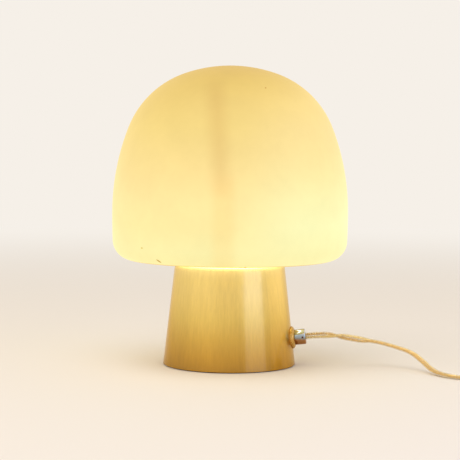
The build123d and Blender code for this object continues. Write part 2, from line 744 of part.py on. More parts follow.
WINDOW_LENGTH, WINDOW_WIDTH = 19.0, 11.4
with BuildPart() as switch_upper:
    add(switch_body.part)
    add(switch_cavity.part, mode=Mode.SUBTRACT)
    split(bisect_by=switch_plane(SPLIT_HEIGHT), keep=Keep.TOP)
    with BuildSketch(Plane(origin=switch_plane(SPLIT_HEIGHT).origin, z_dir=ALONG).offset(-40)):
        Circle(FLEX_RADIUS)
    extrude(amount=80, mode=Mode.SUBTRACT)
    for side in (-1, 1):
        with BuildSketch(switch_side(side * 7.4 + 1.2)):
            with Locations((0, ROCKER_PIVOT + 0.6)):
                Rectangle(6, 4.4)
        extrude(amount=-2.4)
    with BuildSketch(switch_side(-12)):
        with Locations((0, ROCKER_PIVOT)):
            Circle(PIN_RADIUS + 0.05)
    extrude(amount=24, mode=Mode.SUBTRACT, both=False)
    with BuildSketch(switch_plane(SPLIT_HEIGHT)):
        with Locations(*SHELL_SCREWS):
            Circle(SHELL_SCREW_RADIUS)
    extrude(amount=5, mode=Mode.SUBTRACT)
    with BuildSketch(switch_plane(SPLIT_HEIGHT)):
        Rectangle(WINDOW_LENGTH, WINDOW_WIDTH)
    extrude(amount=12, mode=Mode.SUBTRACT)
save(switch_upper.part, "switch_upper")

ROCKER_HALF = 8.2
ROCKER_UNDER = 11.6
ROCKER_LIP = 18.8
pivot_axis = Axis(
    switch_plane(ROCKER_PIVOT).origin,
    switch_floor.y_dir,
)
with BuildPart() as rocker_level:
    with BuildSketch(switch_side(-5.4)):
        with BuildLine():
            right_lip = (ROCKER_HALF - 0.2, ROCKER_LIP)
            left_lip = (0.2 - ROCKER_HALF, ROCKER_LIP)
            Polyline((-6, ROCKER_UNDER), (6, ROCKER_UNDER), (ROCKER_HALF, 15), right_lip)
            ThreePointArc(right_lip, (0, ROCKER_LIP - 1.4), left_lip)
            Polyline(left_lip, (-ROCKER_HALF, 15), (-6, ROCKER_UNDER))
        make_face()
    extrude(amount=10.8)
    with BuildSketch(switch_side(-8.4)):
        with Locations((0, ROCKER_PIVOT)):
            Circle(PIN_RADIUS)
    extrude(amount=16.8)
save(rocker_level.part.rotate(pivot_axis, ROCKER_TILT), "switch_rocker")

BLADE_HALF, BLADE_THICKNESS = 9.0, 0.6
with BuildPart() as blade_level:
    with BuildSketch(switch_plane(ROCKER_UNDER - 0.02 - BLADE_THICKNESS)):
        Rectangle(2 * BLADE_HALF, 4)
    extrude(amount=BLADE_THICKNESS)
save(blade_level.part.rotate(pivot_axis, ROCKER_TILT), "switch_blade")

with BuildPart() as switch_contacts:
    with BuildSketch(switch_plane(SWITCH_WALL)):
        with Locations((9.0, 0)):
            Rectangle(4, 5)
    extrude(amount=7.5)
    with BuildSketch(switch_plane(SWITCH_WALL)):
        with Locations((-1.0, 0)):
            Rectangle(5, 5)
    extrude(amount=8.3)
save(switch_contacts.part, "switch_contacts")

with BuildPart() as switch_screws:
    with BuildSketch(switch_plane(0.4)):
        with Locations(*SHELL_SCREWS):
            Circle(2.6)
    extrude(amount=1.4)
    with BuildSketch(switch_plane(0.4)):
        with Locations(*SHELL_SCREWS):
            Circle(SHELL_SCREW_RADIUS)
    extrude(amount=12.6)
save(switch_screws.part, "switch_screws")

# ---- the stretch from the switch to the coil ----
LINK_ROUTE = [
    (395.2, -65.4, 8.5),
    (405.5, -64.1, 8.0),
    (421.4, -57.9, 5.6),
    (436.3, -45.3, 4.6),
    (444.9, -28.1, 4.4),
    (447.0, -9.2, 4.4),
]
LINK_ROUTE[0] = switch_plane(SPLIT_HEIGHT).origin + Vector(ALONG) * (SWITCH_LENGTH / 2)
swept(LINK_ROUTE, turn_radii(LINK_ROUTE), FLEX_RADIUS, "flex_link")

# ---- the rest of the flex, wound up and tied ----
COIL_CENTRE = (401.8, 0.6)
COIL_INNER, COIL_OUTER = 29.4, 47.0
TIE_THICKNESS, TIE_WIDTH = 0.8, 9.0
COIL_HEIGHT = 2 * FLEX_WIDTH + 0.2
coil_plane = Plane(origin=(*COIL_CENTRE, TIE_THICKNESS), z_dir=(0, 0, 1))
with BuildPart() as flex_coil:
    with BuildSketch(coil_plane):
        Circle(COIL_OUTER)
        Circle(COIL_INNER, mode=Mode.SUBTRACT)
    extrude(amount=COIL_HEIGHT)
save(flex_coil.part, "flex_coil")

TIE_TURN = 197.5
tie_plane = Plane(
    origin=(*COIL_CENTRE, 0),
    x_dir=(cos(radians(TIE_TURN)), sin(radians(TIE_TURN)), 0),
    z_dir=(0, 0, 1),
)
with BuildPart() as coil_tie:
    tie_middle = (COIL_INNER + COIL_OUTER) / 2
    tie_span = COIL_OUTER - COIL_INNER + 2.4
    with BuildSketch(tie_plane):
        with Locations((tie_middle, 0)):
            Rectangle(tie_span, TIE_WIDTH)
    extrude(amount=COIL_HEIGHT + 2 * TIE_THICKNESS)
    add(flex_coil.part, mode=Mode.SUBTRACT)
save(coil_tie.part, "coil_tie")

# ---- from the coil to the plug ----
PLUG_FACE = (288.1, 33.8, 6.85)
PLUG_LENGTH, PLUG_WIDTH, PLUG_HEIGHT = 34.0, 35.3, 13.7
BOOT_LENGTH = 22.0
plug_plane = Plane(
    origin=PLUG_FACE,
    x_dir=(-sin(radians(REST_TURN)), cos(radians(REST_TURN)), 0),
    z_dir=Vector(ALONG) * -1,
)


def plug_at(distance):
    """The plane across the plug, this far behind its pin face."""
    return plug_plane.offset(-distance)


PIN_SPACING, PIN_REACH, PIN_HOLD = 18.6, 19.0, 8.0
SLEEVE_LENGTH = 10.0
with BuildPart() as plug_body:
    with BuildSketch(plug_at(0)):
        RectangleRounded(PLUG_WIDTH, PLUG_HEIGHT, 6)
    with BuildSketch(plug_at(PLUG_LENGTH * 0.4)):
        RectangleRounded(PLUG_WIDTH - 4, PLUG_HEIGHT, 6)
    with BuildSketch(plug_at(PLUG_LENGTH)):
        RectangleRounded(15, 11, 5)
    loft(ruled=True)
    with BuildSketch(plug_at(-1)):
        with GridLocations(PIN_SPACING, 1, 2, 1):
            Circle(1.42)
    extrude(amount=-PIN_HOLD - 1, mode=Mode.SUBTRACT)
    with BuildSketch(plug_at(PLUG_LENGTH - 12)):
        Circle(FLEX_RADIUS)
    extrude(amount=-14, mode=Mode.SUBTRACT)
save(plug_body.part, "plug_body")

with BuildPart() as plug_pins:
    with BuildSketch(plug_at(PIN_HOLD)):
        with GridLocations(PIN_SPACING, 1, 2, 1):
            Circle(1.4)
    extrude(amount=PIN_HOLD + SLEEVE_LENGTH)
    with BuildSketch(plug_at(-SLEEVE_LENGTH)):
        with GridLocations(PIN_SPACING, 1, 2, 1):
            Circle(2)
    extrude(amount=PIN_REACH - SLEEVE_LENGTH)
    circles = plug_pins.edges().filter_by(GeomType.CIRCLE)
    chamfer(circles.sort_by_distance(plug_at(-PIN_REACH).origin)[:2], 0.8)
save(plug_pins.part, "plug_pins")

with BuildPart() as plug_sleeves:
    with BuildSketch(plug_at(-0.02)):
        with GridLocations(PIN_SPACING, 1, 2, 1):
            Circle(1.95)
        with GridLocations(PIN_SPACING, 1, 2, 1):
            Circle(1.42, mode=Mode.SUBTRACT)
    extrude(amount=SLEEVE_LENGTH - 0.04)
save(plug_sleeves.part, "plug_sleeves")

with BuildPart() as plug_boot:
    with BuildSketch(plug_at(PLUG_LENGTH)):
        Circle(5.4)
    with BuildSketch(plug_at(PLUG_LENGTH + BOOT_LENGTH)):
        Circle(4.4)
    loft()
    for groove in range(4):
        with BuildSketch(plug_at(PLUG_LENGTH + 3.5 + 4.5 * groove)):
            Circle(6)
            Circle(4.3 - 0.1 * groove, mode=Mode.SUBTRACT)
        extrude(amount=-1.8, mode=Mode.SUBTRACT)
    with BuildSketch(plug_at(PLUG_LENGTH)):
        Circle(FLEX_RADIUS)
    extrude(amount=-BOOT_LENGTH, mode=Mode.SUBTRACT)
save(plug_boot.part, "plug_boot")

TAIL_ROUTE = [
    (381.7, 42.9, 10.9),
    (369.0, 41.8, 9.6),
    (356.4, 40.8, 7.8),
    (344.3, 39.4, 6.85),
]
boot_end = PLUG_LENGTH + BOOT_LENGTH
TAIL_ROUTE[-2:] = [plug_at(boot_end + 12).origin, plug_at(boot_end).origin]
swept(TAIL_ROUTE, turn_radii(TAIL_ROUTE), FLEX_RADIUS, "flex_tail")
with BuildPart() as plug_flex:
    with BuildSketch(plug_at(PLUG_LENGTH + BOOT_LENGTH)):
        Circle(FLEX_RADIUS)
    extrude(amount=BOOT_LENGTH + 12)
save(plug_flex.part, "plug_flex")
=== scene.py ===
"""Mushroom table lamp: a lit alabaster shade on a brushed brass base, with a flat clear flex.

It stands as the solids do: origin under the middle of the base, +Z up, the cord grip towards +X.
Shapes are written in millimetres and brought to metres by MM; materials read metres.
"""

from math import atan2, cos, pi, radians, sin

import bpy
from mathutils import Euler, Matrix, Vector
from mathutils.geometry import interpolate_bezier


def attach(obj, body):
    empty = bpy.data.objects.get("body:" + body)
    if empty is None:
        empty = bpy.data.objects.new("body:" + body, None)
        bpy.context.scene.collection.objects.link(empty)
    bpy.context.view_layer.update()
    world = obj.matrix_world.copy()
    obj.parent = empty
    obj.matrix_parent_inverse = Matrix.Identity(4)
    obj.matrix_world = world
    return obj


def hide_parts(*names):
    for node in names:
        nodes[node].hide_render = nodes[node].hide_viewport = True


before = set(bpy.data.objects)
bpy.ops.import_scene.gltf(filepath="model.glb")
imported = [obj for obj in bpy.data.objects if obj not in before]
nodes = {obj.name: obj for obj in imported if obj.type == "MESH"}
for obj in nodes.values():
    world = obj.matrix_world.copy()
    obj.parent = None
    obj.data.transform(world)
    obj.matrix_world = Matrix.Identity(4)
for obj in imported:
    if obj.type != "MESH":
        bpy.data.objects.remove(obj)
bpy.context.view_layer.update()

MM = 0.001

# ---- camera: a long lens, a little above the middle of the shade ----
VIEW_TURN = radians(5.5)  # the camera stands this far round to the lamp's right
CAMERA_DISTANCE, CAMERA_HEIGHT = 1.7664, 0.26457
CAMERA_PITCH, CAMERA_ROLL = radians(3.747), 0.0072
LENS_LENGTH = 125.2

lens = bpy.data.cameras.new("camera")
lens.lens = LENS_LENGTH
camera = bpy.data.objects.new("camera", lens)
bpy.context.scene.collection.objects.link(camera)
stand = (CAMERA_DISTANCE * sin(VIEW_TURN), -CAMERA_DISTANCE * cos(VIEW_TURN), CAMERA_HEIGHT)
aim = Euler((radians(90) - CAMERA_PITCH, 0, VIEW_TURN)).to_matrix().to_4x4()
camera.matrix_world = Matrix.Translation(stand) @ aim @ Matrix.Rotation(CAMERA_ROLL, 4, "Z")
bpy.context.scene.camera = camera


def seen_at(across, away, height):
    """A place given as the camera sees it: metres to its right, away from it, and up."""
    return Matrix.Rotation(VIEW_TURN, 4, "Z") @ Vector((across, away, height))


# ---- modelling by hand, in small steps ----
def edit_new(name):
    """Names the primitive just added and opens it in edit mode, all selected."""
    piece = bpy.context.object
    piece.name = piece.data.name = name
    bpy.ops.object.mode_set(mode="EDIT")
    bpy.ops.mesh.select_mode(type="VERT")
    bpy.ops.mesh.select_all(action="SELECT")
    return piece


def close_edit(smooth_angle):
    """Merges doubles, turns the faces outwards and goes back to object mode."""
    bpy.ops.mesh.select_all(action="SELECT")
    bpy.ops.mesh.remove_doubles(threshold=0.004 * MM)
    bpy.ops.mesh.normals_make_consistent(inside=False)
    bpy.ops.object.mode_set(mode="OBJECT")
    bpy.ops.object.shade_smooth_by_angle(angle=radians(smooth_angle))


def drawn(name, line, level=0):
    """Draws a line of edges, (x, z) in millimetres at y = level, and leaves it in edit mode."""
    bpy.ops.object.select_all(action="DESELECT")
    bpy.ops.mesh.primitive_plane_add(size=MM)
    piece = edit_new(name)
    bpy.ops.mesh.merge(type="CENTER")
    bpy.ops.transform.translate(value=(line[0][0] * MM, level * MM, line[0][1] * MM))
    for here, after in zip(line, line[1:]):
        step = ((after[0] - here[0]) * MM, 0, (after[1] - here[1]) * MM)
        bpy.ops.mesh.extrude_vertices_move(TRANSFORM_OT_translate={"value": step})
    bpy.ops.mesh.select_all(action="SELECT")
    return piece


def turned(name, section, steps=96, smooth_angle=35):
    """A piece turned about +Z from its section, which is (radius, height) in millimetres."""
    piece = drawn(name, section)
    bpy.ops.mesh.spin(steps=steps, angle=2 * pi, center=(0, 0, 0), axis=(0, 0, 1))
    close_edit(smooth_angle)
    return piece


def pick(*pieces):
    """Selects these pieces and nothing else, the last of them active."""
    bpy.ops.object.select_all(action="DESELECT")
    for piece in pieces:
        piece.select_set(True)
    bpy.context.view_layer.objects.active = pieces[-1]


def place(piece, matrix):
    """Puts a piece in its place and leaves its object at the origin."""
    pick(piece)
    piece.matrix_world = matrix
    bpy.ops.object.transform_apply(location=True, rotation=True, scale=True)


def cut(piece, cutter, smooth_angle=35):
    """Takes a cutter's shape out of a piece and throws the cutter away."""
    pick(piece)
    hole = piece.modifiers.new("hole", "BOOLEAN")
    hole.operation, hole.solver, hole.object = "DIFFERENCE", "EXACT", cutter
    bpy.ops.object.modifier_apply(modifier=hole.name)
    bpy.data.objects.remove(cutter)
    bpy.ops.object.shade_smooth_by_angle(angle=radians(smooth_angle))


def rod(name, radius, length, steps=48):
    """A plain rod from the origin along +Z, in millimetres, to cut a hole with."""
    bpy.ops.object.select_all(action="DESELECT")
    bpy.ops.mesh.primitive_cylinder_add(
        vertices=steps, radius=radius * MM, depth=length * MM, location=(0, 0, length / 2 * MM),
    )
    made = bpy.context.object
    made.name = name
    bpy.ops.object.transform_apply(location=True, rotation=True, scale=True)
    return made


def fluted(piece, count, depth, low, high, run_out=1.5):
    """Presses shallow flutes, run out at both ends, into a turned piece between two heights."""
    for vertex in piece.data.vertices:
        height = vertex.co.z / MM
        if low < height < high:
            radius = (vertex.co.x**2 + vertex.co.y**2) ** 0.5
            wave = 0.5 - 0.5 * cos(count * atan2(vertex.co.y, vertex.co.x))
            ease = min(1, (height - low) / run_out, (high - height) / run_out)
            vertex.co.xy *= 1 - depth * MM * wave * ease / radius


def arc(points, heading, radius, turn, steps):
    """Carries a section on along an arc to the right, and returns the new heading in degrees."""
    x, y = points[-1]
    middle_x = x + radius * sin(radians(heading))
    middle_y = y - radius * cos(radians(heading))
    for step in range(1, steps + 1):
        facing = radians(heading - turn * step / steps)
        points.append((middle_x - radius * sin(facing), middle_y + radius * cos(facing)))
    return heading - turn


# ---- shade: one blown shell, its outer and inner lines the same arcs 7 mm apart ----
TOTAL_HEIGHT, SEAT_HEIGHT = 330.0, 113.3
SHADE_WALL, NECK_RADIUS, BASE_TOP_RADIUS = 7.0, 42.0, 60.4
SHADE_ARCS = (  # radius, turn in degrees, steps
    (153.0, 19.58, 9),
    (102.5, 49.07, 20),
    (256.5, 21.35, 12),
    (938.0, 1.91, 5),
    (21.5, 84.64, 18),
)


def shade_line(inset):
    """The shade's section from its crown to its seat, moved inwards by inset."""
    points, heading = [(0, TOTAL_HEIGHT - inset)], 0
    for radius, turn, steps in SHADE_ARCS:
        heading = arc(points, heading, radius - inset, turn, steps)
    edge_radius, edge_height = points[-1]
    for share in (0.35, 0.7, 1):
        radius = edge_radius + (BASE_TOP_RADIUS - edge_radius) * share
        points.append((radius, edge_height + (SEAT_HEIGHT + inset - edge_height) * share))
    return points


LIP = 1.5  # the chamfer of the neck's two edges
neck_line = [
    (NECK_RADIUS + LIP, SEAT_HEIGHT),
    (NECK_RADIUS + 0.3 * LIP, SEAT_HEIGHT + 0.3 * LIP),
    (NECK_RADIUS, SEAT_HEIGHT + LIP),
    (NECK_RADIUS, SEAT_HEIGHT + SHADE_WALL - LIP),
    (NECK_RADIUS + 0.3 * LIP, SEAT_HEIGHT + SHADE_WALL - 0.3 * LIP),
    (NECK_RADIUS + LIP, SEAT_HEIGHT + SHADE_WALL),
]
shade = turned(
    "shade_glass", shade_line(0) + neck_line + shade_line(SHADE_WALL)[::-1], steps=192, smooth_angle=60,
)
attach(shade, "shade")
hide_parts("shade")

# ---- base: a spun brass cone, its flat top rolled over at the rim ----
BASE_FOOT_RADIUS, BASE_WALL = 73.3, 1.5
PLATE_TOP, FOOT_HEIGHT, RIM_ROLL = 112.3, 3.0, 1.2
TUBE_HOLE = 5.2


def base_radius(height):
    """Outside radius of the base cone at a height, in millimetres."""
    return BASE_FOOT_RADIUS - (BASE_FOOT_RADIUS - BASE_TOP_RADIUS) * height / SEAT_HEIGHT


LIP_LOW, LIP_WALL, LIP_CHAMFER = 0.9, 0.45, 0.15  # the wall's edge comes down round the cover
base_section = [(base_radius(LIP_LOW), LIP_LOW + LIP_CHAMFER)]
for height in range(8, 109, 10):
    base_section.append((base_radius(height), height))
rim_start = PLATE_TOP - RIM_ROLL
base_section.append((base_radius(rim_start), rim_start))
for turn in (24, 48, 70):
    out = base_radius(PLATE_TOP) - RIM_ROLL
    base_section.append((out + RIM_ROLL * cos(radians(turn)), rim_start + RIM_ROLL * sin(radians(turn))))
base_section += [
    (base_radius(PLATE_TOP) - RIM_ROLL, PLATE_TOP),
    (TUBE_HOLE, PLATE_TOP),
    (TUBE_HOLE, PLATE_TOP - BASE_WALL),
    (base_radius(PLATE_TOP) - 3, PLATE_TOP - BASE_WALL),
    (base_radius(PLATE_TOP) - 1.7, PLATE_TOP - 3),
    (base_radius(FOOT_HEIGHT) - BASE_WALL, FOOT_HEIGHT),
    (base_radius(FOOT_HEIGHT) - LIP_WALL, FOOT_HEIGHT),
    (base_radius(FOOT_HEIGHT) - LIP_WALL, LIP_LOW),
    (base_radius(LIP_LOW) - LIP_CHAMFER, LIP_LOW),
    (base_radius(LIP_LOW), LIP_LOW + LIP_CHAMFER),
]
base_shell = turned("base_cone", base_section, steps=192, smooth_angle=30)
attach(base_shell, "base")
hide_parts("base_shell")

# ---- cord grip: a domed rosette cut to the cone, and a turned barrel with its grub screw ----
GRIP_HEIGHT, GRIP_TILT = 30.7, radians(6.495)
grip_frame = Matrix((
    (0, -sin(GRIP_TILT), cos(GRIP_TILT), base_radius(GRIP_HEIGHT) * MM),
    (1, 0, 0, 0),
    (0, cos(GRIP_TILT), sin(GRIP_TILT), GRIP_HEIGHT * MM),
    (0, 0, 0, 1),
))
STEM_HOLE, BARREL_START, BARREL_END = 6.2, 3.4, 15.4
ROSETTE_SUNK, CONE_CUT = 2, 60  # how deep the rosette starts, and how tall the cone is that cuts it
rosette = turned(
    "grip_rosette_dome",
    [
        (STEM_HOLE, -ROSETTE_SUNK), (12.5, -ROSETTE_SUNK), (12.5, 0.75), (12.4, 1.05), (12.15, 1.35),
        (11.8, 1.85), (11.3, 2.35), (10.6, 2.85), (9.9, 3.2), (9.2, BARREL_START),
        (STEM_HOLE, BARREL_START), (STEM_HOLE, -ROSETTE_SUNK),
    ],
    steps=96, smooth_angle=40,
)
place(rosette, grip_frame)
bpy.ops.object.select_all(action="DESELECT")
bpy.ops.mesh.primitive_cone_add(
    vertices=192, radius1=base_radius(0) * MM, radius2=base_radius(CONE_CUT) * MM,
    depth=CONE_CUT * MM, location=(0, 0, CONE_CUT / 2 * MM),
)
cone_cutter = bpy.context.object
bpy.ops.object.transform_apply(location=True, rotation=True, scale=True)
cut(rosette, cone_cutter)
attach(rosette, "base")
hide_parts("grip_rosette")

stem_cutter = rod("stem_cutter", STEM_HOLE, 20)
place(stem_cutter, grip_frame @ Matrix.Translation((0, 0, -10 * MM)))
cut(base_shell, stem_cutter, smooth_angle=30)

barrel = turned(
    "grip_barrel_turned",
    [
        (6.0, BARREL_START), (8.3, BARREL_START), (8.58, 3.5), (8.7, 3.8), (8.7, 13.9), (8.62, 14.4),
        (8.38, 14.85), (8.0, 15.18), (7.6, 15.35), (7.2, BARREL_END), (4.3, BARREL_END), (3.98, 15.28),
        (3.85, 15.0), (3.85, 14.1), (6.0, 14.1), (6.0, BARREL_START),
    ],
    steps=96, smooth_angle=40,
)
SCREW_RADIUS, SCREW_ALONG = 1.1, 12.1
screw_cutter = rod("screw_cutter", SCREW_RADIUS, 12)
place(screw_cutter, Matrix.Translation((0, 0, SCREW_ALONG * MM)) @ Matrix.Rotation(radians(-90), 4, "Y"))
cut(barrel, screw_cutter, smooth_angle=40)
place(barrel, grip_frame)
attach(barrel, "base")
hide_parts("grip_barrel")

# ---- where the shade rests: a clear seat ring, and the gallery that centres the neck ----
seat_ring = turned(
    "seat_ring_moulded",
    [
        (45, PLATE_TOP), (58.6, PLATE_TOP), (58.8, PLATE_TOP + 0.2), (58.8, SEAT_HEIGHT - 0.2),
        (58.6, SEAT_HEIGHT), (45, SEAT_HEIGHT), (45, PLATE_TOP),
    ],
    steps=144, smooth_angle=60,
)
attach(seat_ring, "base")
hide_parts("seat_ring")

gallery = turned(
    "gallery_cup",
    [
        (TUBE_HOLE, PLATE_TOP), (39.7, PLATE_TOP), (40.3, PLATE_TOP + 0.25), (40.5, PLATE_TOP + 0.9),
        (40.5, 123.4), (40.32, 123.82), (39.9, 124.0), (39.48, 123.82), (39.3, 123.4), (39.3, 115.2),
        (39.0, 114.1), (38.2, 113.5), (TUBE_HOLE, 113.5), (TUBE_HOLE, PLATE_TOP),
    ],
    steps=144, smooth_angle=50,
)
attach(gallery, "base")
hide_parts("gallery_ring")

# ---- lampholder: a fluted cap and skirt in black moulding ----
holder_cap = turned(
    "holder_cap_moulded",
    [
        (5.0, 116.7), (8.6, 116.7), (9.0, 117.1), (9.0, 122.9), (9.5, 123.9), (12.2, 125.8),
        (15.6, 128.0), (18.4, 129.9), (19.6, 131.0), (20.0, 132.4), (20.0, 135.2), (20.0, 137.2),
        (19.7, 137.7), (18.2, 137.7), (18.2, 131.7), (9.0, 125.7), (5.0, 125.7), (5.0, 116.7),
    ],
    steps=216, smooth_angle=35,
)
grub_cutter = rod("grub_cutter", 1.5, 12)
place(grub_cutter, Matrix.Translation((0, -4 * MM, 120.2 * MM)) @ Matrix.Rotation(radians(90), 4, "X"))
cut(holder_cap, grub_cutter)
holder_skirt = turned(
    "holder_skirt_moulded",
    [
        (18.0, 137.8), (19.7, 137.8), (20.0, 138.3), (20.0, 139.4), (20.0, 141.2), (20.0, 147.0),
        (20.0, 153.0), (20.0, 159.0), (20.0, 162.6), (20.0, 164.4), (20.0, 165.7), (19.65, 166.55),
        (18.8, 166.9), (15.0, 166.9), (14.35, 166.5), (14.35, 165.2), (18.0, 165.2), (18.0, 137.8),
    ],
    steps=216, smooth_angle=35,
)
fluted(holder_skirt, count=36, depth=0.55, low=139.8, high=164.0)
for piece, name in ((holder_cap, "holder_cap"), (holder_skirt, "holder_skirt")):
    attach(piece, "base")
    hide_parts(name)

# ---- bulb: a clear globe on a glass stem, and a cap with a rolled thread ----
CAP_LOW, CAP_HIGH, THREAD_PITCH = 151.75, 170.75, 3.629
BULB_CENTRE, BULB_RADIUS, GLASS_WALL = 221.75, 30.0, 0.8
GLASS_LOW, NECK_TOP, NECK_WIDE = 159.75, 168.75, 12.4
BALL_START, NECK_PULL = radians(28), 14.0  # below the ball's middle, and how hard the curves pull


def globe_line(inset):
    """The globe's section from its neck to its crown, moved inwards by inset."""
    ball, neck = BULB_RADIUS - inset, NECK_WIDE - inset
    foot = Vector((neck, NECK_TOP, 0))
    joint = Vector((ball * cos(BALL_START), BULB_CENTRE - ball * sin(BALL_START), 0))
    points = [(neck, GLASS_LOW)]
    leaving = foot + Vector((0, NECK_PULL, 0))
    arriving = joint - NECK_PULL * Vector((sin(BALL_START), cos(BALL_START), 0))
    points += [(spot.x, spot.y) for spot in interpolate_bezier(foot, leaving, arriving, joint, 18)]
    for step in range(1, 31):
        turn = (radians(90) + BALL_START) * step / 30 - BALL_START
        points.append((ball * cos(turn) if step < 30 else 0, BULB_CENTRE + ball * sin(turn)))
    return points


globe = turned(
    "bulb_globe_blown", globe_line(0) + globe_line(GLASS_WALL)[::-1] + [(NECK_WIDE, GLASS_LOW)],
    steps=96, smooth_angle=60,
)
stem = turned(
    "bulb_stem_drawn",
    [
        (0, 160.75), (11.3, 160.75), (11.5, 161.2), (11.45, 163.4), (10.2, 165.6), (7.6, 168.4),
        (5.0, 171.4), (4.0, 174.5), (3.5, 180.0), (3.1, 186.0), (2.5, 190.0), (1.8, 193.4),
        (1.6, 197.0), (1.6, 202.9), (1.2, 203.6), (0, 203.75),
    ],
    steps=48, smooth_angle=60,
)
for piece, name in ((globe, "bulb_globe"), (stem, "bulb_stem")):
    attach(piece, "bulb")
    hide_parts(name)

cap_foot = turned(
    "bulb_cap_rolled",
    [
        (10.6, CAP_LOW + 1.2), (10.5, CAP_LOW), (11.2, CAP_LOW + 0.5), (12.0, CAP_LOW + 1.5),
        (12.3, CAP_LOW + 2.3), (12.3, CAP_LOW + 3.6), (11.9, CAP_LOW + 3.6), (10.6, CAP_LOW + 1.2),
    ],
    steps=96, smooth_angle=40,
)
cap_head = turned(
    "bulb_cap_head",
    [
        (12.2, 169.0), (12.75, 169.0), (13.0, 169.6), (13.0, CAP_HIGH - 0.25), (12.8, CAP_HIGH),
        (12.5, CAP_HIGH), (12.2, 169.0),
    ],
    steps=96, smooth_angle=40,
)
THREAD_STEPS, THREAD_TURNS = 12, 3
THREAD_ROOT, THREAD_LOW, THREAD_DEPTH, THREAD_WALL = 12.1, 154.6, 0.9, 0.3
thread_line = []
for step in range(THREAD_STEPS + 1):
    out = THREAD_DEPTH / 2 * (1 - cos(2 * pi * step / THREAD_STEPS))
    thread_line.append((THREAD_ROOT + out, THREAD_LOW + THREAD_PITCH * step / THREAD_STEPS))
thread = drawn("bulb_cap_thread", thread_line)
bpy.ops.object.mode_set(mode="OBJECT")
winding = thread.modifiers.new("winding", "SCREW")
winding.angle, winding.screw_offset, winding.iterations = 2 * pi, THREAD_PITCH * MM, THREAD_TURNS
winding.steps = winding.render_steps = 64
winding.use_merge_vertices = True
wall = thread.modifiers.new("wall", "SOLIDIFY")
wall.thickness, wall.offset = THREAD_WALL * MM, -1
for modifier in ("winding", "wall"):
    bpy.ops.object.modifier_apply(modifier=modifier)
pick(thread, cap_head, cap_foot)
bpy.ops.object.join()
bpy.ops.object.mode_set(mode="EDIT")
close_edit(40)
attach(cap_foot, "bulb")
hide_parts("bulb_cap")

# ---- flat flex: a clear two-core jacket over two stranded cores ----
FLEX_THICKNESS = 4.4
CORE_OFFSET, CORE_RADIUS = 1.6, 1.45
WAIST_SHARE = 0.86  # the waist's thickness beside the lobes'
STRAND_LAY = 14.0  # millimetres for one turn of a core's strands
STRANDS, STRAND_POINTS = 7, 3


def smooth_line(points):
    """Points along a route's smooth line: a NURBS spline of order 3, the route its control points."""
    curve = bpy.data.curves.new("route", "CURVE")
    curve.dimensions = "3D"
    curve.resolution_u = 10
    spline = curve.splines.new("NURBS")
    spline.points.add(len(points) - 1)
    for control, spot in zip(spline.points, points):
        control.co = (*spot, 1)
    spline.order_u = 3
    spline.use_endpoint_u = True
    carrier = bpy.data.objects.new("route", curve)
    line = bpy.data.meshes.new_from_object(carrier)
    spots = [vertex.co.copy() for vertex in line.vertices]
    bpy.data.objects.remove(carrier)
    return spots


def along(line):
    """The distance in millimetres from a line's start to each of its points."""
    gone = [0.0]
    for before, here in zip(line, line[1:]):
        gone.append(gone[-1] + (here - before).length / MM)
    return gone


def turned_by(distance, twists):
    """How far the flat side has turned at a distance, eased between (distance, degrees) pairs."""
    for (low, start), (high, end) in zip(twists, twists[1:]):
        if distance <= high:
            share = max(0, (distance - low) / (high - low))
            return radians(start + (end - start) * share * share * (3 - 2 * share))
    return radians(twists[-1][1])


def axes_at(line, index):
    """The level and the upright direction across a line at one of its points."""
    ahead = line[min(index + 1, len(line) - 1)] - line[max(index - 1, 0)]
    level = ahead.cross(Vector((0, 0, 1))).normalized()
    return level, level.cross(ahead).normalized()


def tube(name, line, ring_at):
    """A closed tube of quads along a line. ring_at gives the section's points at an index."""
    rings = [ring_at(index) for index in range(len(line))]
    count = len(rings[0])
    spots = [spot for ring in rings for spot in ring]
    faces = []
    for low in range(0, len(spots) - count, count):
        for side in range(count):
            after = (side + 1) % count
            faces.append((low + side, low + after, low + count + after, low + count + side))
    faces.append(tuple(range(count))[::-1])
    faces.append(tuple(range(len(spots) - count, len(spots))))
    mesh = bpy.data.meshes.new(name)
    mesh.from_pydata(spots, [], faces)
    piece = bpy.data.objects.new(name, mesh)
    bpy.context.scene.collection.objects.link(piece)
    pick(piece)
    bpy.ops.object.mode_set(mode="EDIT")
    close_edit(50)
    return piece


def flat_section():
    """The jacket's outline, two lobes with a shallow waist, as (wide, thick) in millimetres."""
    lobe = FLEX_THICKNESS / 2
    outline = []
    for side in (1, -1):
        for step in range(9):
            turn = radians(-90 + 22.5 * step + (0 if side == 1 else 180))
            outline.append((side * CORE_OFFSET + lobe * cos(turn), lobe * sin(turn)))
        outline.append((0, side * lobe * WAIST_SHARE))
    return outline


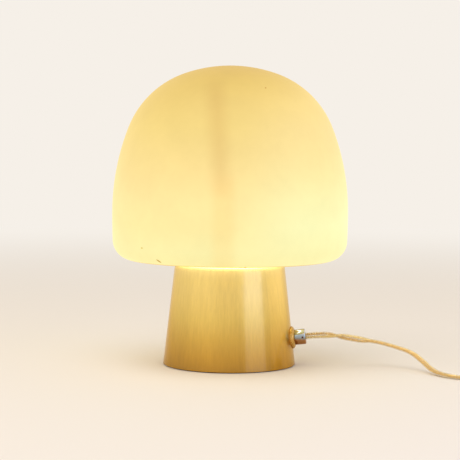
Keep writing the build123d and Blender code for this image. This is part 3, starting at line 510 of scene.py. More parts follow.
def flat_flex(name, line, twists):
    """The jacket and the two cores of one stretch of flex, its flat side turned as twists says."""
    gone = along(line)

    def across(index, wide, thick):
        level, upright = axes_at(line, index)
        turn = turned_by(gone[index], twists)
        wide_way = level * cos(turn) + upright * sin(turn)
        thick_way = upright * cos(turn) - level * sin(turn)
        return line[index] + (wide_way * wide + thick_way * thick) * MM

    section = flat_section()
    jacket = tube(f"{name}_jacket", line, lambda index: [across(index, *spot) for spot in section])
    cores = []
    for side, metal in ((1, "gold"), (-1, "silver")):

        def strands(index, side=side):
            """A core's section: seven rounded strands, wound along the line."""
            ring = []
            for step in range(STRANDS * STRAND_POINTS):
                turn = 2 * pi * (step / STRANDS / STRAND_POINTS + gone[index] / STRAND_LAY)
                radius = CORE_RADIUS * (0.9 + 0.1 * cos(2 * pi * step / STRAND_POINTS))
                ring.append(across(index, side * CORE_OFFSET + radius * cos(turn), radius * sin(turn)))
            return ring

        cores.append(tube(f"{name}_{metal}_core", line, strands))
    for piece in (jacket, *cores):
        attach(piece, "base")
    return jacket, *cores


def metres(*route):
    """A route written in millimetres, in metres."""
    return [Vector(spot) * MM for spot in route]


lead_line = smooth_line(metres(
    (84.99, 0, 32.44), (103.7, 0, 34.6), (123.4, 0.4, 33.2), (144.3, 0.6, 29.8),
    (164.7, -0.7, 27.7), (184.4, -5.3, 23.1), (201.3, -14.3, 18.9), (213.0, -27.2, 11.4),
    (221.0, -42.5, 5.2), (231.0, -61.0, 2.9), (247.4, -77.8, 2.4), (269.6, -84.8, 2.4),
    (293.6, -80.4, 3.2), (315.4, -74.0, 6.2), (331.4, -71.6, 8.5),
))
# How the flat side lies: millimetres along the flex, and degrees from level.
LEAD_TWISTS = ((0, 90), (16, 90), (50, 270), (56, 272), (74, 360), (300, 360))
lead_jacket, lead_gold, lead_silver = flat_flex("lead", lead_line, LEAD_TWISTS)
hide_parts("flex_lead")

COIL_MIDDLE = Vector((401.8, 0.6, 0))
COIL_WIDE, COIL_PITCH = 44.0, 4.6  # its outer turn, and how far the next lies inside it
COIL_LOW, COIL_HIGH = 4.4, 11.6
COIL_START, TURN_STEPS = 4.5, 16  # degrees, and points in one turn
LAYER_STEPS, RISE_STEPS = 40, 6  # points in a layer, and where the flex climbs to the upper one
coil = []
for step in range(2 * LAYER_STEPS + RISE_STEPS):
    turn = radians(COIL_START + 360 * step / TURN_STEPS)
    inwards = min(step, LAYER_STEPS) - max(0, step - LAYER_STEPS - RISE_STEPS)
    radius = COIL_WIDE - COIL_PITCH * inwards / TURN_STEPS
    risen = min(1, max(0, (step - LAYER_STEPS) / RISE_STEPS))
    height = COIL_LOW + (COIL_HIGH - COIL_LOW) * risen
    coil.append(COIL_MIDDLE + Vector((radius * cos(turn), radius * sin(turn), height)))
tail_line = smooth_line(metres(
    (395.15, -65.43, 8.5), (405.5, -64.1, 8.0), (421.4, -57.9, 5.6), (436.3, -45.3, 4.6),
    (444.1, -28.0, 4.4), (446.2, -12.3, 4.4),
    *coil,
    (381.7, 42.9, 10.9), (369.0, 41.8, 9.6), (355.79, 40.32, 6.85), (343.84, 39.17, 6.85),
    (322.0, 37.07, 6.85), (312.0, 36.1, 6.85),
))
tail_length = along(tail_line)[-1]
TAIL_TWISTS = (
    (0, 0), (12, 0), (75, 90), (tail_length - 95, 90), (tail_length - 40, 180), (tail_length, 180),
)
tail_jacket, tail_gold, tail_silver = flat_flex("tail", tail_line, TAIL_TWISTS)
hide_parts("flex_link", "flex_coil", "flex_tail", "plug_flex")

INNER_END = -34.0  # where the jacket is stripped inside the base
inner_line = smooth_line([
    grip_frame @ Vector((0, 0, out * MM)) for out in (15.28, 7.0, -3.0, -13.0, -23.0, INNER_END)
])
inner_pieces = flat_flex("inner", inner_line, ((0, 90), (60, 90)))
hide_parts("inner_flex")

# ---- inline switch: finger ribs on its lid, and the two marks on its rocker ----
SWITCH_PLACE, REST_TURN = Vector((363.3, -68.5, 0)), radians(5.5)
SWITCH_HEIGHT, ROCKER_PIVOT, ROCKER_TILT = 17.0, 13.2, radians(9)
switch_frame = Matrix.Translation(SWITCH_PLACE * MM) @ Matrix.Rotation(REST_TURN, 4, "Z")
rocker_frame = (
    switch_frame
    @ Matrix.Translation((0, 0, ROCKER_PIVOT * MM))
    @ Matrix.Rotation(ROCKER_TILT, 4, "Y")
    @ Matrix.Translation((0, 0, -ROCKER_PIVOT * MM))
)


def select_edges(piece, wanted):
    """Selects the edges of the piece in edit mode whose two ends, in millimetres, pass a test."""
    bpy.ops.mesh.select_mode(type="EDGE")
    bpy.ops.mesh.select_all(action="DESELECT")
    bpy.ops.object.mode_set(mode="OBJECT")
    spots = piece.data.vertices
    for edge in piece.data.edges:
        edge.select = wanted(*(spots[index].co / MM for index in edge.vertices))
    bpy.ops.object.mode_set(mode="EDIT")


def block(name, long, wide, tall, middle=(0, 0, 0), soft=0.3, segments=3):
    """A block with all its edges rounded over, in millimetres."""
    bpy.ops.object.select_all(action="DESELECT")
    bpy.ops.mesh.primitive_cube_add(
        size=MM, location=[part * MM for part in middle], scale=(long, wide, tall),
    )
    bpy.ops.object.transform_apply(location=True, rotation=True, scale=True)
    made = edit_new(name)
    bpy.ops.mesh.bevel(offset=soft * MM, segments=segments, affect="EDGES")
    close_edit(50)
    return made


RIB_STARTS, RIB_PITCH, RIB_LONG = (-23.0, 14.0), 3.0, 13.0
RIB_TAPER = 0.35  # how much shorter a rib is for each millimetre further out
switch_ribs = []
for start in RIB_STARTS:
    for step in range(4):
        rib_x = start + step * RIB_PITCH
        rib_wide = RIB_LONG - RIB_TAPER * (abs(rib_x) - RIB_STARTS[1])
        rib = block(
            f"switch_rib_{len(switch_ribs) + 1}", 1.1, rib_wide, 0.9, (rib_x, 0, SWITCH_HEIGHT), soft=0.35,
        )
        place(rib, switch_frame)
        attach(rib, "base")
        switch_ribs.append(rib)

ROCKER_CURVE, ROCKER_DIP, MARK_AT = 23.56, 17.4, 5.0
mark_height = ROCKER_DIP + ROCKER_CURVE - (ROCKER_CURVE**2 - MARK_AT**2) ** 0.5
mark_slope = atan2(MARK_AT, ROCKER_CURVE)
on_bar = block("rocker_on_bar", 0.6, 3.2, 0.4, (0, 0, 0.05), soft=0.12, segments=2)
off_ring = turned(
    "rocker_off_ring",
    [(1.2, -0.1), (1.8, -0.1), (1.8, 0.15), (1.65, 0.25), (1.35, 0.25), (1.2, 0.15), (1.2, -0.1)],
    steps=48,
)
for side, piece in ((-1, on_bar), (1, off_ring)):
    place(
        piece,
        rocker_frame
        @ Matrix.Translation((side * MARK_AT * MM, 0, mark_height * MM))
        @ Matrix.Rotation(-side * mark_slope, 4, "Y"),
    )
    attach(piece, "rocker")

# ---- plug: a moulded body with a finger scoop each side, and a ribbed boot ----
PLUG_WIDE, PLUG_TALL, PLUG_LONG, BOOT_LONG = 35.3, 13.7, 34.0, 22.0
FACE_WIDE, FACE_TALL, FACE_HIGH = 33.9, 12.3, 0.7  # the plug's front face, set in from the body
PLUG_FACE = Vector((288.1, 33.8, 6.85))
plug_frame = (
    Matrix.Translation(PLUG_FACE * MM)
    @ Matrix.Rotation(REST_TURN, 4, "Z")
    @ Matrix.Rotation(radians(90), 4, "Y")
    @ Matrix.Rotation(radians(90), 4, "Z")
)
bpy.ops.object.select_all(action="DESELECT")
bpy.ops.mesh.primitive_cube_add(size=MM, location=(0, 0, 0.5 * MM))
plug_body = edit_new("plug_body_moulded")
bpy.ops.transform.resize(value=(FACE_WIDE, FACE_TALL, 1))
select_edges(plug_body, lambda one, other: abs(one.z - other.z) > 0.5)
bpy.ops.mesh.bevel(offset=5.3 * MM, segments=7, affect="EDGES")
bpy.ops.mesh.select_mode(type="FACE")
bpy.ops.mesh.select_all(action="DESELECT")
bpy.ops.object.mode_set(mode="OBJECT")
for face in plug_body.data.polygons:
    face.select = face.normal.z > 0.9
bpy.ops.object.mode_set(mode="EDIT")
bpy.ops.transform.translate(value=(0, 0, (FACE_HIGH - 1) * MM))
high_now, wide_now, tall_now = FACE_HIGH, FACE_WIDE, FACE_TALL
for high, wide, tall in (
    (FACE_HIGH, 34.9, 13.3), (1.5, PLUG_WIDE, PLUG_TALL), (7.0, 33.9, 13.7), (13.6, 31.6, 13.6),
    (19.0, 28.3, 13.3), (24.0, 24.2, 12.8), (28.5, 20.0, 12.1), (32.2, 16.8, 11.4), (33.5, 15.2, 10.9),
    (PLUG_LONG, 13.8, 10.2),
):
    bpy.ops.mesh.extrude_region_move(
        TRANSFORM_OT_translate={"value": (0, 0, (high - high_now) * MM)},
    )
    bpy.ops.transform.resize(value=(wide / wide_now, tall / tall_now, 1))
    high_now, wide_now, tall_now = high, wide, tall
close_edit(50)
SCOOP_RADIUS, SCOOP_DEEP, SCOOP_HIGH, SCOOP_LONG = 26, 1.1, 12.5, 60
for side in (-1, 1):
    scoop = rod("scoop_cutter", SCOOP_RADIUS, SCOOP_LONG, steps=96)
    scoop_middle = side * (SCOOP_RADIUS + PLUG_TALL / 2 - SCOOP_DEEP)
    place(
        scoop,
        Matrix.Translation(Vector((-SCOOP_LONG / 2, scoop_middle, SCOOP_HIGH)) * MM)
        @ Matrix.Rotation(radians(90), 4, "Y"),
    )
    cut(plug_body, scoop, smooth_angle=50)
PIN_HOLE, PIN_OFFSET = 1.42, 9.3
for side in (-1, 1):
    pin_hole = rod("pin_cutter", PIN_HOLE, 9)
    place(pin_hole, Matrix.Translation((side * PIN_OFFSET * MM, 0, -1 * MM)))
    cut(plug_body, pin_hole, smooth_angle=50)
place(plug_body, plug_frame)
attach(plug_body, "base")
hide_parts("plug_body")

BOOT_BORE, BOOT_LOW, BOOT_HIGH = 3.7, PLUG_LONG - 0.5, PLUG_LONG + BOOT_LONG
boot_section = [(BOOT_BORE, BOOT_LOW), (5.3, BOOT_LOW)]
for rib in range(4):
    low, out = PLUG_LONG + 4.5 * rib, 5.4 - 0.2 * rib
    boot_section += [
        (out, low), (out, low + 2.7), (out - 0.25, low + 3.15), (out - 0.95, low + 3.35),
        (out - 1.0, low + 4.2), (out - 0.35, low + 4.4),
    ]
boot_section += [
    (4.6, BOOT_HIGH - 4.0), (4.55, BOOT_HIGH - 1.2), (4.4, BOOT_HIGH - 0.4), (4.1, BOOT_HIGH),
    (BOOT_BORE, BOOT_HIGH), (BOOT_BORE, BOOT_LOW),
]
plug_boot = turned("plug_boot_ribbed", boot_section, steps=64, smooth_angle=40)
place(plug_boot, plug_frame)
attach(plug_boot, "base")
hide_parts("plug_boot")

# ---- coil tie: a band of tape round the turns, its section as (out from the coil's middle, height) ----
TIE_TURN, TIE_WIDE, TIE_THICK = radians(197.5), 9.0, 0.8
TIE_NEAR, TIE_FAR, TIE_HIGH, TIE_ROUND = 28.2, 48.2, 16.2, 3.4
band_line = []
for corner_x, corner_z, start in (
    (TIE_FAR - TIE_ROUND, TIE_HIGH - TIE_ROUND, 90),
    (TIE_FAR - TIE_ROUND, TIE_ROUND, 0),
    (TIE_NEAR + TIE_ROUND, TIE_ROUND, -90),
    (TIE_NEAR + TIE_ROUND, TIE_HIGH - TIE_ROUND, -180),
):
    for step in range(5):
        turn = radians(start - 22.5 * step)
        band_line.append((corner_x + TIE_ROUND * cos(turn), corner_z + TIE_ROUND * sin(turn)))
band_line += [  # the end that laps over the start
    (35.0, TIE_HIGH + 0.1), (38.0, TIE_HIGH + 0.55), (44.6, TIE_HIGH + 0.8), (46.6, TIE_HIGH + 0.35),
]
tie = drawn("coil_tie_band", band_line, level=-TIE_WIDE / 2)
bpy.ops.mesh.extrude_region_move(TRANSFORM_OT_translate={"value": (0, TIE_WIDE * MM, 0)})
bpy.ops.mesh.select_all(action="SELECT")
bpy.ops.object.mode_set(mode="OBJECT")
band = tie.modifiers.new("thickness", "SOLIDIFY")
band.thickness, band.offset = TIE_THICK * MM, -1
edges = tie.modifiers.new("edges", "BEVEL")
edges.width, edges.segments, edges.limit_method = 0.25 * MM, 2, "ANGLE"
for modifier in ("thickness", "edges"):
    bpy.ops.object.modifier_apply(modifier=modifier)
bpy.ops.object.shade_smooth_by_angle(angle=radians(40))
place(tie, Matrix.Translation(COIL_MIDDLE * MM) @ Matrix.Rotation(TIE_TURN, 4, "Z"))
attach(tie, "base")
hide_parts("coil_tie")


# ---- finishes ----
def linear(colour):
    """An sRGB hex colour as linear red, green, blue and alpha."""
    parts = [int(colour[at : at + 2], 16) / 255 for at in (1, 3, 5)]
    return (*[part / 12.92 if part <= 0.04045 else ((part + 0.055) / 1.055) ** 2.4 for part in parts], 1)


def node(tree, kind, inputs=None, **settings):
    """Adds one node. Settings are its properties, inputs its sockets' values or what feeds them."""
    made = tree.nodes.new(kind)
    for name, value in settings.items():
        setattr(made, name, value)
    for socket, value in (inputs or {}).items():
        if isinstance(value, bpy.types.NodeSocket):
            tree.links.new(value, made.inputs[socket])
        else:
            made.inputs[socket].default_value = value
    return made


def fill_ramp(ramp, *stops):
    """Sets a colour ramp's stops, each a place and a hex colour, and returns its colour."""
    elements = ramp.color_ramp.elements
    while len(elements) < len(stops):
        elements.new(1)
    for element, (spot, colour) in zip(elements, stops):
        element.position = spot
        element.color = linear(colour)
    return ramp.outputs["Color"]


def finish(name):
    """A new material with only its output, and its node tree."""
    made = bpy.data.materials.new(name)
    made.use_nodes = True
    made.node_tree.nodes.clear()
    node(made.node_tree, "ShaderNodeOutputMaterial")
    return made, made.node_tree


def surface(tree, inputs):
    """Ends a material with its surface shader."""
    shader = node(tree, "ShaderNodeBsdfPrincipled", inputs)
    tree.links.new(shader.outputs["BSDF"], tree.nodes["Material Output"].inputs["Surface"])


def wear(made, *pieces):
    """Gives pieces or CAD nodes their material."""
    for piece in pieces:
        if isinstance(piece, str):
            piece = nodes[piece]
        if not piece.material_slots:
            piece.data.materials.append(made)
        for seat in piece.material_slots:
            seat.material = made


# The streak of painted shade down the shade's front: metres across for each metre up, and how far right of
# the middle it would meet the ground. The painted peach band below it runs upright, so far left of the
# middle.
STREAK_LEAN, STREAK_FOOT, PEACH_LEFT = 0.067, 0.0043, 0.007


def alabaster(name, inside):
    """Cream alabaster glass lit from within: a warm glow, paler low down, clouded, with brown flecks;
    painted light on its right half, and painted shade in a streak down its front and along its lowest edge.
    """
    made, tree = finish(name)
    spot = node(tree, "ShaderNodeTexCoord").outputs["Object"]
    facing = node(tree, "ShaderNodeMapping", {"Vector": spot, "Rotation": (0, 0, -VIEW_TURN)}).outputs[0]
    part = node(tree, "ShaderNodeSeparateXYZ", {0: facing})
    across, away, up = part.outputs

    def rise(value, low, high):
        """0 below low, 1 above high, eased between; low may be the larger."""
        return node(
            tree, "ShaderNodeMapRange", {"Value": value, "From Min": low, "From Max": high},
            interpolation_type="SMOOTHSTEP",
        ).outputs[0]

    def times(*factors):
        """The product of several sockets."""
        product = factors[0]
        for factor in factors[1:]:
            product = node(tree, "ShaderNodeMath", {0: product, 1: factor}, operation="MULTIPLY").outputs[0]
        return product

    def tinted(colour, amount, tint):
        """The colour multiplied by a tint where amount is 1."""
        return node(
            tree, "ShaderNodeMix", {0: amount, 6: colour, 7: linear(tint)},
            data_type="RGBA", blend_type="MULTIPLY",
        ).outputs[2]

    height = node(
        tree, "ShaderNodeMapRange",
        {"Value": up, "From Min": SEAT_HEIGHT * MM, "From Max": TOTAL_HEIGHT * MM},
    ).outputs[0]
    warm = fill_ramp(
        node(tree, "ShaderNodeValToRGB", {0: height}),
        (0.0, "#FCF0A8"), (0.09, "#FCF3AE"), (0.21, "#FDEDA5"), (0.33, "#FDE9A1"), (0.45, "#FDE297"),
        (0.57, "#F6DA8B"), (0.69, "#F1D47F"), (0.81, "#EACA72"), (0.93, "#DEBB5F"), (1.0, "#D0A94D"),
    )
    # Painted light: this paler ramp is mixed in over the shade's right half, as if lit from the right.
    bright = fill_ramp(
        node(tree, "ShaderNodeValToRGB", {0: height}),
        (0.0, "#FCF4B0"), (0.09, "#FCF8B6"), (0.21, "#FBFBBC"), (0.33, "#FBF6B4"), (0.45, "#FDEEA7"),
        (0.57, "#FDE59C"), (0.69, "#FADF95"), (0.81, "#F6D887"), (0.93, "#E5C369"), (1.0, "#D7AF54"),
    )
    tone = node(
        tree, "ShaderNodeMix", {0: rise(across, -0.01, 0.085), 6: warm, 7: bright}, data_type="RGBA",
    ).outputs[2]
    # Soft clouds and finer ones, in millimetres across, as poured glass shows when it is lit.
    for size, least, most in ((45.5, 0.972, 1.024), (9.1, 0.991, 1.008)):
        clouds = node(
            tree, "ShaderNodeTexNoise",
            {
                "Vector": facing, "Scale": 1 / (size * MM), "Detail": 3.0, "Roughness": 0.5,
                "Distortion": 0.3,
            },
        ).outputs["Fac"]
        cloud_tone = node(
            tree, "ShaderNodeMapRange",
            {"Value": clouds, "From Min": 0.32, "From Max": 0.68, "To Min": least, "To Max": most},
        ).outputs[0]
        tone = node(
            tree, "ShaderNodeMix", {0: 1.0, 6: tone, 7: cloud_tone},
            data_type="RGBA", blend_type="MULTIPLY",
        ).outputs[2]
    front = rise(away, -0.02, -0.06)
    # Painted shade leans down the front as a streak, darker above and peach below.
    leaned = node(
        tree, "ShaderNodeMath", {0: up, 1: STREAK_LEAN, 2: across}, operation="MULTIPLY_ADD",
    ).outputs[0]
    off_streak = node(
        tree, "ShaderNodeMath",
        {0: node(tree, "ShaderNodeMath", {0: leaned, 1: STREAK_FOOT}, operation="SUBTRACT").outputs[0]},
        operation="ABSOLUTE",
    ).outputs[0]
    upper = times(front, rise(off_streak, 0.0185, -0.001), rise(up, 0.180, 0.222), rise(up, 0.326, 0.288))
    tone = tinted(tone, upper, "#F4EDE6")
    off_peach = node(
        tree, "ShaderNodeMath",
        {0: node(tree, "ShaderNodeMath", {0: across, 1: PEACH_LEFT}, operation="ADD").outputs[0]},
        operation="ABSOLUTE",
    ).outputs[0]
    lower = times(front, rise(off_peach, 0.018, 0.004), rise(up, 0.222, 0.196))
    tone = tinted(tone, lower, "#FFF7F0")
    # Painted shade: a thin amber line follows the glass's lowest edge, where its outline darkens.
    edge = times(rise(up, 0.1184, 0.1168), rise(up, 0.1148, 0.1157))
    tone = tinted(tone, edge, "#EBC078")
    # Flecks in the glass: across and up, half width and half height in metres, and degrees of slope.
    for fleck_x, fleck_z, half_wide, half_tall, slope, colour in (
        (-0.0743, 0.1220, 0.0034, 0.0009, -34, "#C9A66A"),
        (0.0162, 0.1172, 0.0016, 0.0010, 0, "#D2B070"),
        (0.0365, 0.3042, 0.0009, 0.0009, 0, "#D8BC80"),
        (-0.0925, 0.1351, 0.0012, 0.0009, 0, "#E4CE92"),
    ):
        flat = node(
            tree, "ShaderNodeMapping",
            {
                "Vector": node(tree, "ShaderNodeCombineXYZ", {0: across, 1: up}).outputs[0],
                "Location": (fleck_x, fleck_z, 0),
                "Rotation": (0, 0, radians(slope)),
                "Scale": (half_wide, half_tall, 1),
            },
            vector_type="TEXTURE",
        ).outputs[0]
        distance = node(tree, "ShaderNodeVectorMath", {0: flat}, operation="LENGTH").outputs["Value"]
        tone = tinted(tone, times(front, rise(distance, 1.2, 0.5)), colour)
    # The underside glows most beside the seat, where the glass is nearest the bulb.
    plan = node(tree, "ShaderNodeCombineXYZ", {0: across, 1: away}).outputs[0]
    out = node(tree, "ShaderNodeVectorMath", {0: plan}, operation="LENGTH").outputs["Value"]
    under = times(rise(out, 0.071, 0.0605), rise(up, 0.122, 0.1165))
    tone = node(
        tree, "ShaderNodeMix", {0: under, 6: tone, 7: linear("#FFFAE4")}, data_type="RGBA",
    ).outputs[2]
    strength = node(
        tree, "ShaderNodeMapRange", {"Value": under, "To Min": 1.8 if inside else 0.9, "To Max": 4.6},
    ).outputs[0]
    surface(tree, {
        "Base Color": linear("#5E5436"),
        "Roughness": 0.5,
        "IOR": 1.5,
        "Specular IOR Level": 0.2,
        "Emission Color": tone,
        "Emission Strength": strength,
    })
    return made


wear(alabaster("alabaster_glass", inside=False), shade)
shade.data.materials.append(alabaster("alabaster_glass_inside", inside=True))
SHADE_MIDDLE = Vector((0, 0, 200 * MM))
for face in shade.data.polygons:
    if face.normal.dot(face.center - SHADE_MIDDLE) < 0:
        face.material_index = 1


NOISE_SPAN = {"From Min": 0.3, "From Max": 0.7}  # where nearly all of a noise's values lie


def brass(name):
    """Sheet brass, spun, brushed and lacquered: soft upright highlights, and painted light that makes it
    paler upwards.
    """
    made, tree = finish(name)
    spot = node(tree, "ShaderNodeTexCoord").outputs["Object"]
    height = node(tree, "ShaderNodeSeparateXYZ", {0: spot}).outputs["Z"]
    # Painted light: the colour runs darker towards the foot and paler near the glowing shade above.
    tone = fill_ramp(
        node(tree, "ShaderNodeValToRGB", {0: node(
            tree, "ShaderNodeMapRange", {"Value": height, "From Max": SEAT_HEIGHT * MM},
        ).outputs[0]}),
        (0.0, "#B0822B"), (0.15, "#C5983A"), (0.31, "#D5AD4E"), (0.49, "#E6C668"), (0.67, "#F2D57C"),
        (0.85, "#F7DE8B"), (1.0, "#F6E0A0"),
    )
    # Faint lines run up the cone. They are drawn 2.38 mm wide, coarser than the real ones, to show.
    drawn = node(tree, "ShaderNodeMapping", {"Vector": spot, "Scale": (1, 1, 0.04)}).outputs[0]
    lines = node(
        tree, "ShaderNodeTexNoise",
        {"Vector": drawn, "Scale": 1 / (2.38 * MM), "Detail": 3.0, "Roughness": 0.7},
    ).outputs["Fac"]
    brush_tone = node(
        tree, "ShaderNodeMapRange", {"Value": lines, **NOISE_SPAN, "To Min": 0.93, "To Max": 1.04},
    ).outputs[0]
    tone = node(tree, "ShaderNodeVectorMath", {0: tone, "Scale": brush_tone}, operation="SCALE").outputs[0]
    tangent = node(tree, "ShaderNodeTangent", direction_type="RADIAL", axis="Z").outputs[0]
    surface(tree, {
        "Base Color": tone,
        "Metallic": 1.0,
        "Roughness": 0.36,
        "Specular Tint": linear("#F6E3B4"),
        "Anisotropic": 0.9,
        "Anisotropic Rotation": 0.25,
        "Tangent": tangent,
        "Coat Weight": 0.45,
        "Coat Roughness": 0.08,
    })
    return made


wear(brass("brushed_brass"), base_shell)


def mottled(name, low, high, grain, rough, dent, **inputs):
    """A finish between two colours, with a grain that also dulls and dents it a little.

    The grain's size and the dents' depth are in millimetres, and rough is the least and most
    roughness. Other inputs go to the surface shader, with underscores for the spaces in their names.
    """
    made, tree = finish(name)
    spot = node(tree, "ShaderNodeTexCoord").outputs["Object"]
    grains = node(
        tree, "ShaderNodeTexNoise",
        {"Vector": spot, "Scale": 1 / (grain * MM), "Detail": 4.0, "Roughness": 0.55},
    ).outputs["Fac"]
    spread = node(tree, "ShaderNodeMapRange", {"Value": grains, **NOISE_SPAN}).outputs[0]
    dull = node(
        tree, "ShaderNodeMapRange",
        {"Value": grains, **NOISE_SPAN, "To Min": rough[0], "To Max": rough[1]},
    ).outputs[0]
    surface(tree, {
        "Base Color": fill_ramp(node(tree, "ShaderNodeValToRGB", {0: spread}), (0.0, low), (1.0, high)),
        "Roughness": dull,
        "Normal": node(
            tree, "ShaderNodeBump", {"Height": grains, "Strength": 0.5, "Distance": dent * MM},
        ).outputs["Normal"],
        **{key.replace("_", " "): value for key, value in inputs.items()},
    })
    return made


# Satin brass: turned and left unlacquered, so it is a little deeper and redder than the cone.
wear(
    mottled("satin_brass_turned", "#B98E45", "#DDB66A", 1.2, (0.24, 0.34), 0.012, Metallic=1.0),
    rosette, gallery,
)


# Painted reflection: the barrel's colour runs from brown to cream between these heights.
CHROME_LOW, CHROME_HIGH = 22.5, 40.5  # the heights on the barrel that its tones run between


def chrome(name):
    """Polished chrome plate: a hard bright skin, with a painted reflection, warm brown below, blue-grey
    half way and cream on top.
    """
    made, tree = finish(name)
    spot = node(tree, "ShaderNodeTexCoord").outputs["Object"]
    height = node(tree, "ShaderNodeSeparateXYZ", {0: spot}).outputs["Z"]
    rise = node(
        tree, "ShaderNodeMapRange",
        {"Value": height, "From Min": CHROME_LOW * MM, "From Max": CHROME_HIGH * MM},
    ).outputs[0]
    smears = node(
        tree, "ShaderNodeTexNoise", {"Vector": spot, "Scale": 1 / (2.38 * MM), "Detail": 2.0},
    ).outputs["Fac"]
    dull = node(tree, "ShaderNodeMapRange", {"Value": smears, "To Min": 0.04, "To Max": 0.14}).outputs[0]
    surface(tree, {
        "Base Color": fill_ramp(
            node(tree, "ShaderNodeValToRGB", {0: rise}),
            (0.0, "#7E4A22"), (0.14, "#B07C46"), (0.34, "#B5865A"), (0.46, "#8E9499"), (0.62, "#A3AFB4"),
            (0.80, "#C6CACC"), (0.92, "#DCDCE4"), (1.0, "#CCC4B4"),
        ),
        "Metallic": 1.0,
        "Roughness": dull,
    })
    return made


wear(chrome("polished_chrome_plate"), barrel)
# Zinc plate: thin, slightly blue-grey and cloudy where the bath left it uneven.
wear(
    mottled("zinc_plated_steel", "#9EA0A0", "#C4C6C4", 2.5, (0.28, 0.46), 0.01, Metallic=1.0),
    "tie_tube", "lower_washer", "lower_nut", "upper_washer", "upper_nut", "gallery_nut",
    "holder_grub_screw", "terminal_screws", "grip_stem", "grip_washer", "grip_nut", "clamp_screws",
    "cover_screws", "switch_screws",
)
# A grub screw in dark red-brown steel: a dark dot in the chrome.
wear(
    mottled("dark_red_brown_screw_steel", "#3C120C", "#6E2418", 0.5, (0.35, 0.5), 0.01, Metallic=0.4),
    "grip_screw",
)
# Bare pressed brass of the electrical parts: bright, with faint press marks.
wear(
    mottled("pressed_contact_brass", "#B98A3E", "#E2B766", 1.5, (0.18, 0.32), 0.01, Metallic=1.0),
    "holder_shell", "holder_tongue", "holder_terminals", "bulb_contact", "switch_blade", "switch_contacts",
)
# Black phenolic of the holder: compression moulded, so a dull sheen with a fine pimple.
wear(
    mottled("black_phenolic_moulding", "#0E0D0D", "#1E1C1B", 0.7, (0.34, 0.5), 0.03, IOR=1.6),
    holder_cap, holder_skirt,
)
# Steatite: a pressed and fired ceramic, dry and slightly speckled.
wear(mottled("unglazed_steatite", "#D8D2C2", "#EDE9DE", 0.9, (0.62, 0.8), 0.04), "holder_insulator")
# Grey iron poured in sand: coarse grained and matt.
wear(mottled("sand_cast_iron", "#1C1C1E", "#3C3B3C", 1.6, (0.6, 0.85), 0.35, Metallic=0.6), "ballast")
# Steel sheet with a baked black paint: a low orange peel.
wear(mottled("black_baked_paint", "#0D0B0A", "#191614", 2.0, (0.42, 0.55), 0.05), "bottom_cover")
# Wool felt under the foot: dark brown, with fibres lying every way.
wear(
    mottled(
        "brown_wool_felt", "#1F1611", "#3A2B20", 0.5, (0.9, 1.0), 0.35,
        Sheen_Weight=0.5, Sheen_Roughness=0.6,
    ),
    "felt_pad",
)
# Nylon of the flex clamp: milky, a little light goes into it.
wear(
    mottled("natural_nylon_moulding", "#DAD6C8", "#EBE8DE", 1.4, (0.4, 0.55), 0.03, Subsurface_Weight=0.15),
    "clamp_base", "clamp_bar",
)
# Wire insulation: extruded PVC, glossy, with the faint ripple of the die.
wear(mottled("brown_wire_pvc", "#4A2412", "#5E3018", 1.8, (0.22, 0.34), 0.02), "live_wire")
wear(mottled("blue_wire_pvc", "#1C3F8E", "#2850A6", 1.8, (0.22, 0.34), 0.02), "neutral_wire")
# Clear silicone of the seat ring and the grip's bush: hazy and soft edged, its warm colour painted light
# from the lamp behind it.
wear(
    mottled(
        "clear_silicone_rubber", "#E6C98A", "#F2DDA6", 2.2, (0.3, 0.45), 0.02,
        IOR=1.41, Transmission_Weight=0.6,
    ),
    seat_ring, "grip_bush",
)
# Clear soda glass of the bulb: thin, so it shows mostly at its edges.
wear(
    mottled(
        "clear_bulb_glass", "#F6F6F0", "#FFFFFF", 9.0, (0.0, 0.03), 0.01, IOR=1.5, Transmission_Weight=1.0,
    ),
    globe, stem,
)
# Phosphor coated filaments: a warm light all along.
wear(
    mottled(
        "lit_filament_coating", "#F0B040", "#F8C860", 0.8, (0.5, 0.6), 0.02,
        Emission_Color=linear("#FFD28A"), Emission_Strength=9.0,
    ),
    "bulb_filaments",
)
# Nickel plated cap: rolled thin, so bright on the crests and duller in the roots.
wear(mottled("rolled_nickel_cap", "#9C9890", "#C9C5BB", 1.6, (0.18, 0.34), 0.02, Metallic=1.0), cap_foot)
# Black vitrite glass between the cap and its contact.
wear(mottled("black_vitrite_glass", "#08080A", "#141418", 1.2, (0.06, 0.16), 0.02), "bulb_insulator")
# Clear PVC of the flex, glossy outside: its yellow tint is partly the PVC's own haze and partly painted
# warm light from the lamp.
wear(
    mottled("clear_flex_pvc", "#FFEFAE", "#FFF8D0", 6.0, (0.07, 0.16), 0.02, IOR=1.53, Alpha=0.3),
    lead_jacket, tail_jacket, inner_pieces[0],
)
# Bare copper strands, and tinned ones painted pale gold for the lamp's warm light on them.
wear(
    mottled("bare_copper_strands", "#B06A14", "#FACB56", 1.0, (0.22, 0.4), 0.05, Metallic=0.9),
    lead_gold, tail_gold, inner_pieces[1],
)
wear(
    mottled("tinned_copper_strands", "#DCA23C", "#FFEFA0", 1.0, (0.22, 0.4), 0.05, Metallic=0.9),
    lead_silver, tail_silver, inner_pieces[2],
)
# Clear moulded polycarbonate of the switch and its like on the plug: see-through, slightly milky.
wear(
    mottled(
        "clear_switch_polycarbonate", "#F1EDE0", "#FAF8F0", 5.0, (0.1, 0.22), 0.02,
        IOR=1.58, Transmission_Weight=0.65,
    ),
    "switch_lower", "switch_upper", plug_body, plug_boot, *switch_ribs,
)
# The rocker is moulded of the same, filled white: opaque, with the mould's low sheen.
wear(
    mottled("milky_rocker_polycarbonate", "#E9E4D4", "#F6F2E6", 3.0, (0.16, 0.28), 0.02, IOR=1.58),
    "switch_rocker", on_bar, off_ring,
)
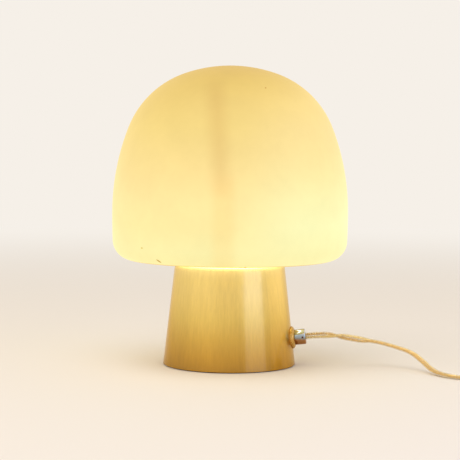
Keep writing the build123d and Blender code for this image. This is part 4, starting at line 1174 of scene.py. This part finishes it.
# The plug's pins: nickel plated, bright, with fine scuffs. Their sleeves: black nylon, half matt.
wear(
    mottled("nickel_plated_pins", "#A8A49B", "#D2CEC4", 1.4, (0.12, 0.26), 0.01, Metallic=1.0),
    "plug_pins",
)
wear(mottled("black_nylon_sleeves", "#101010", "#1C1C1C", 0.8, (0.35, 0.5), 0.02), "plug_sleeves")


def hook_tape(name):
    """Woven hook tape: fuzzy and matt, its ribs 2.78 mm apart, coarser than the real ones to show."""
    made, tree = finish(name)
    spot = node(tree, "ShaderNodeTexCoord").outputs["Object"]
    ribs = node(
        tree, "ShaderNodeTexWave", {"Vector": spot, "Scale": pi / (10 * 2.776 * MM), "Distortion": 0.4},
        bands_direction="Z",
    ).outputs["Fac"]
    fuzz = node(
        tree, "ShaderNodeTexNoise", {"Vector": spot, "Scale": 1 / (0.385 * MM), "Detail": 3.0},
    ).outputs["Fac"]
    both = node(tree, "ShaderNodeMath", {0: ribs, 1: fuzz}, operation="MULTIPLY").outputs[0]
    surface(tree, {
        "Base Color": fill_ramp(
            node(tree, "ShaderNodeValToRGB", {0: both}), (0.0, "#A5A196"), (0.8, "#D8D5CB"),
        ),
        "Roughness": 0.9,
        "Sheen Weight": 0.4,
        "Sheen Roughness": 0.5,
        "Normal": node(
            tree, "ShaderNodeBump", {"Height": both, "Strength": 0.7, "Distance": 0.15 * MM},
        ).outputs["Normal"],
    })
    return made


wear(hook_tape("woven_hook_tape"), tie)

# ---- the studio: a pale floor and backdrop, and four soft lamps, a cool and a warm one right ----
FLOOR_SIZE, FADE_START, FADE_END = 12, 0.45, 2.4
SEEN_WHITE = "#F6F0E8"
bpy.ops.object.select_all(action="DESELECT")
bpy.ops.mesh.primitive_plane_add(size=FLOOR_SIZE)
floor = bpy.context.object
floor.name = "floor"


def looked_at(tree):
    """1 where a ray comes from the eye, or by way of metal or glass, and 0 where it only lights."""
    rays = node(tree, "ShaderNodeLightPath")
    seen = rays.outputs["Is Camera Ray"]
    for kind in ("Is Glossy Ray", "Is Transmission Ray"):
        seen = node(
            tree, "ShaderNodeMath", {0: seen, 1: rays.outputs[kind]}, operation="MAXIMUM",
        ).outputs[0]
    return seen


def studio_floor(name):
    """Pale matt paper: far from the lamp it is seen in the backdrop's colour, so no edge shows."""
    made, tree = finish(name)
    spot = node(tree, "ShaderNodeTexCoord").outputs["Object"]
    away = node(tree, "ShaderNodeVectorMath", {0: spot}, operation="LENGTH").outputs["Value"]
    far = node(
        tree, "ShaderNodeMapRange", {"Value": away, "From Min": FADE_START, "From Max": FADE_END},
        interpolation_type="SMOOTHSTEP",
    ).outputs[0]
    share = node(tree, "ShaderNodeMath", {0: far, 1: looked_at(tree)}, operation="MULTIPLY").outputs[0]
    paper = node(
        tree, "ShaderNodeBsdfPrincipled", {"Base Color": linear("#EBE5DC"), "Roughness": 0.75},
    ).outputs["BSDF"]
    glow = node(tree, "ShaderNodeEmission", {"Color": linear(SEEN_WHITE), "Strength": 1.0}).outputs[0]
    both = node(tree, "ShaderNodeMixShader", {0: share, 1: paper, 2: glow}).outputs[0]
    tree.links.new(both, tree.nodes["Material Output"].inputs["Surface"])
    return made


wear(studio_floor("studio_floor"), floor)


LAMP_AIM = Vector((0, 0, 0.17))


def soft_lamp(name, across, away, height, wide, tall, colour, power):
    """A rectangular softbox, placed as the camera sees it and turned to the shade's lower half."""
    light = bpy.data.lights.new(name, "AREA")
    light.shape = "RECTANGLE"
    light.size, light.size_y = wide, tall
    light.color = linear(colour)[:3]
    light.energy = power
    lamp = bpy.data.objects.new(name, light)
    spot = seen_at(across, away, height)
    aim = (LAMP_AIM - spot).to_track_quat("-Z", "Y")
    lamp.matrix_world = Matrix.Translation(spot) @ aim.to_matrix().to_4x4()
    bpy.context.scene.collection.objects.link(lamp)


soft_lamp("softbox_left", -1.3, -0.9, 0.9, 1.8, 1.4, "#FFF4E4", 1.9)
soft_lamp("softbox_above", -0.5, -0.9, 2.4, 2.2, 2.2, "#FFF8EE", 26)
soft_lamp("cool_softbox_right", 0.95, -0.88, 0.40, 0.92, 0.9, "#9CB0FF", 3.6)
soft_lamp("warm_softbox_right", 1.4, 0.45, 0.25, 1.5, 0.9, "#FFE0A8", 1.5)

world = bpy.data.worlds.new("studio")
bpy.context.scene.world = world
world.use_nodes = True
sky = world.node_tree
sky.nodes.clear()
dim = node(sky, "ShaderNodeBackground", {"Color": linear("#FFF8F0"), "Strength": 0.75}).outputs[0]
white = node(sky, "ShaderNodeBackground", {"Color": linear(SEEN_WHITE), "Strength": 1.0}).outputs[0]
both = node(sky, "ShaderNodeMixShader", {0: looked_at(sky), 1: dim, 2: white}).outputs[0]
node(sky, "ShaderNodeOutputWorld", {"Surface": both})

bpy.context.scene.view_settings.view_transform = "Standard"
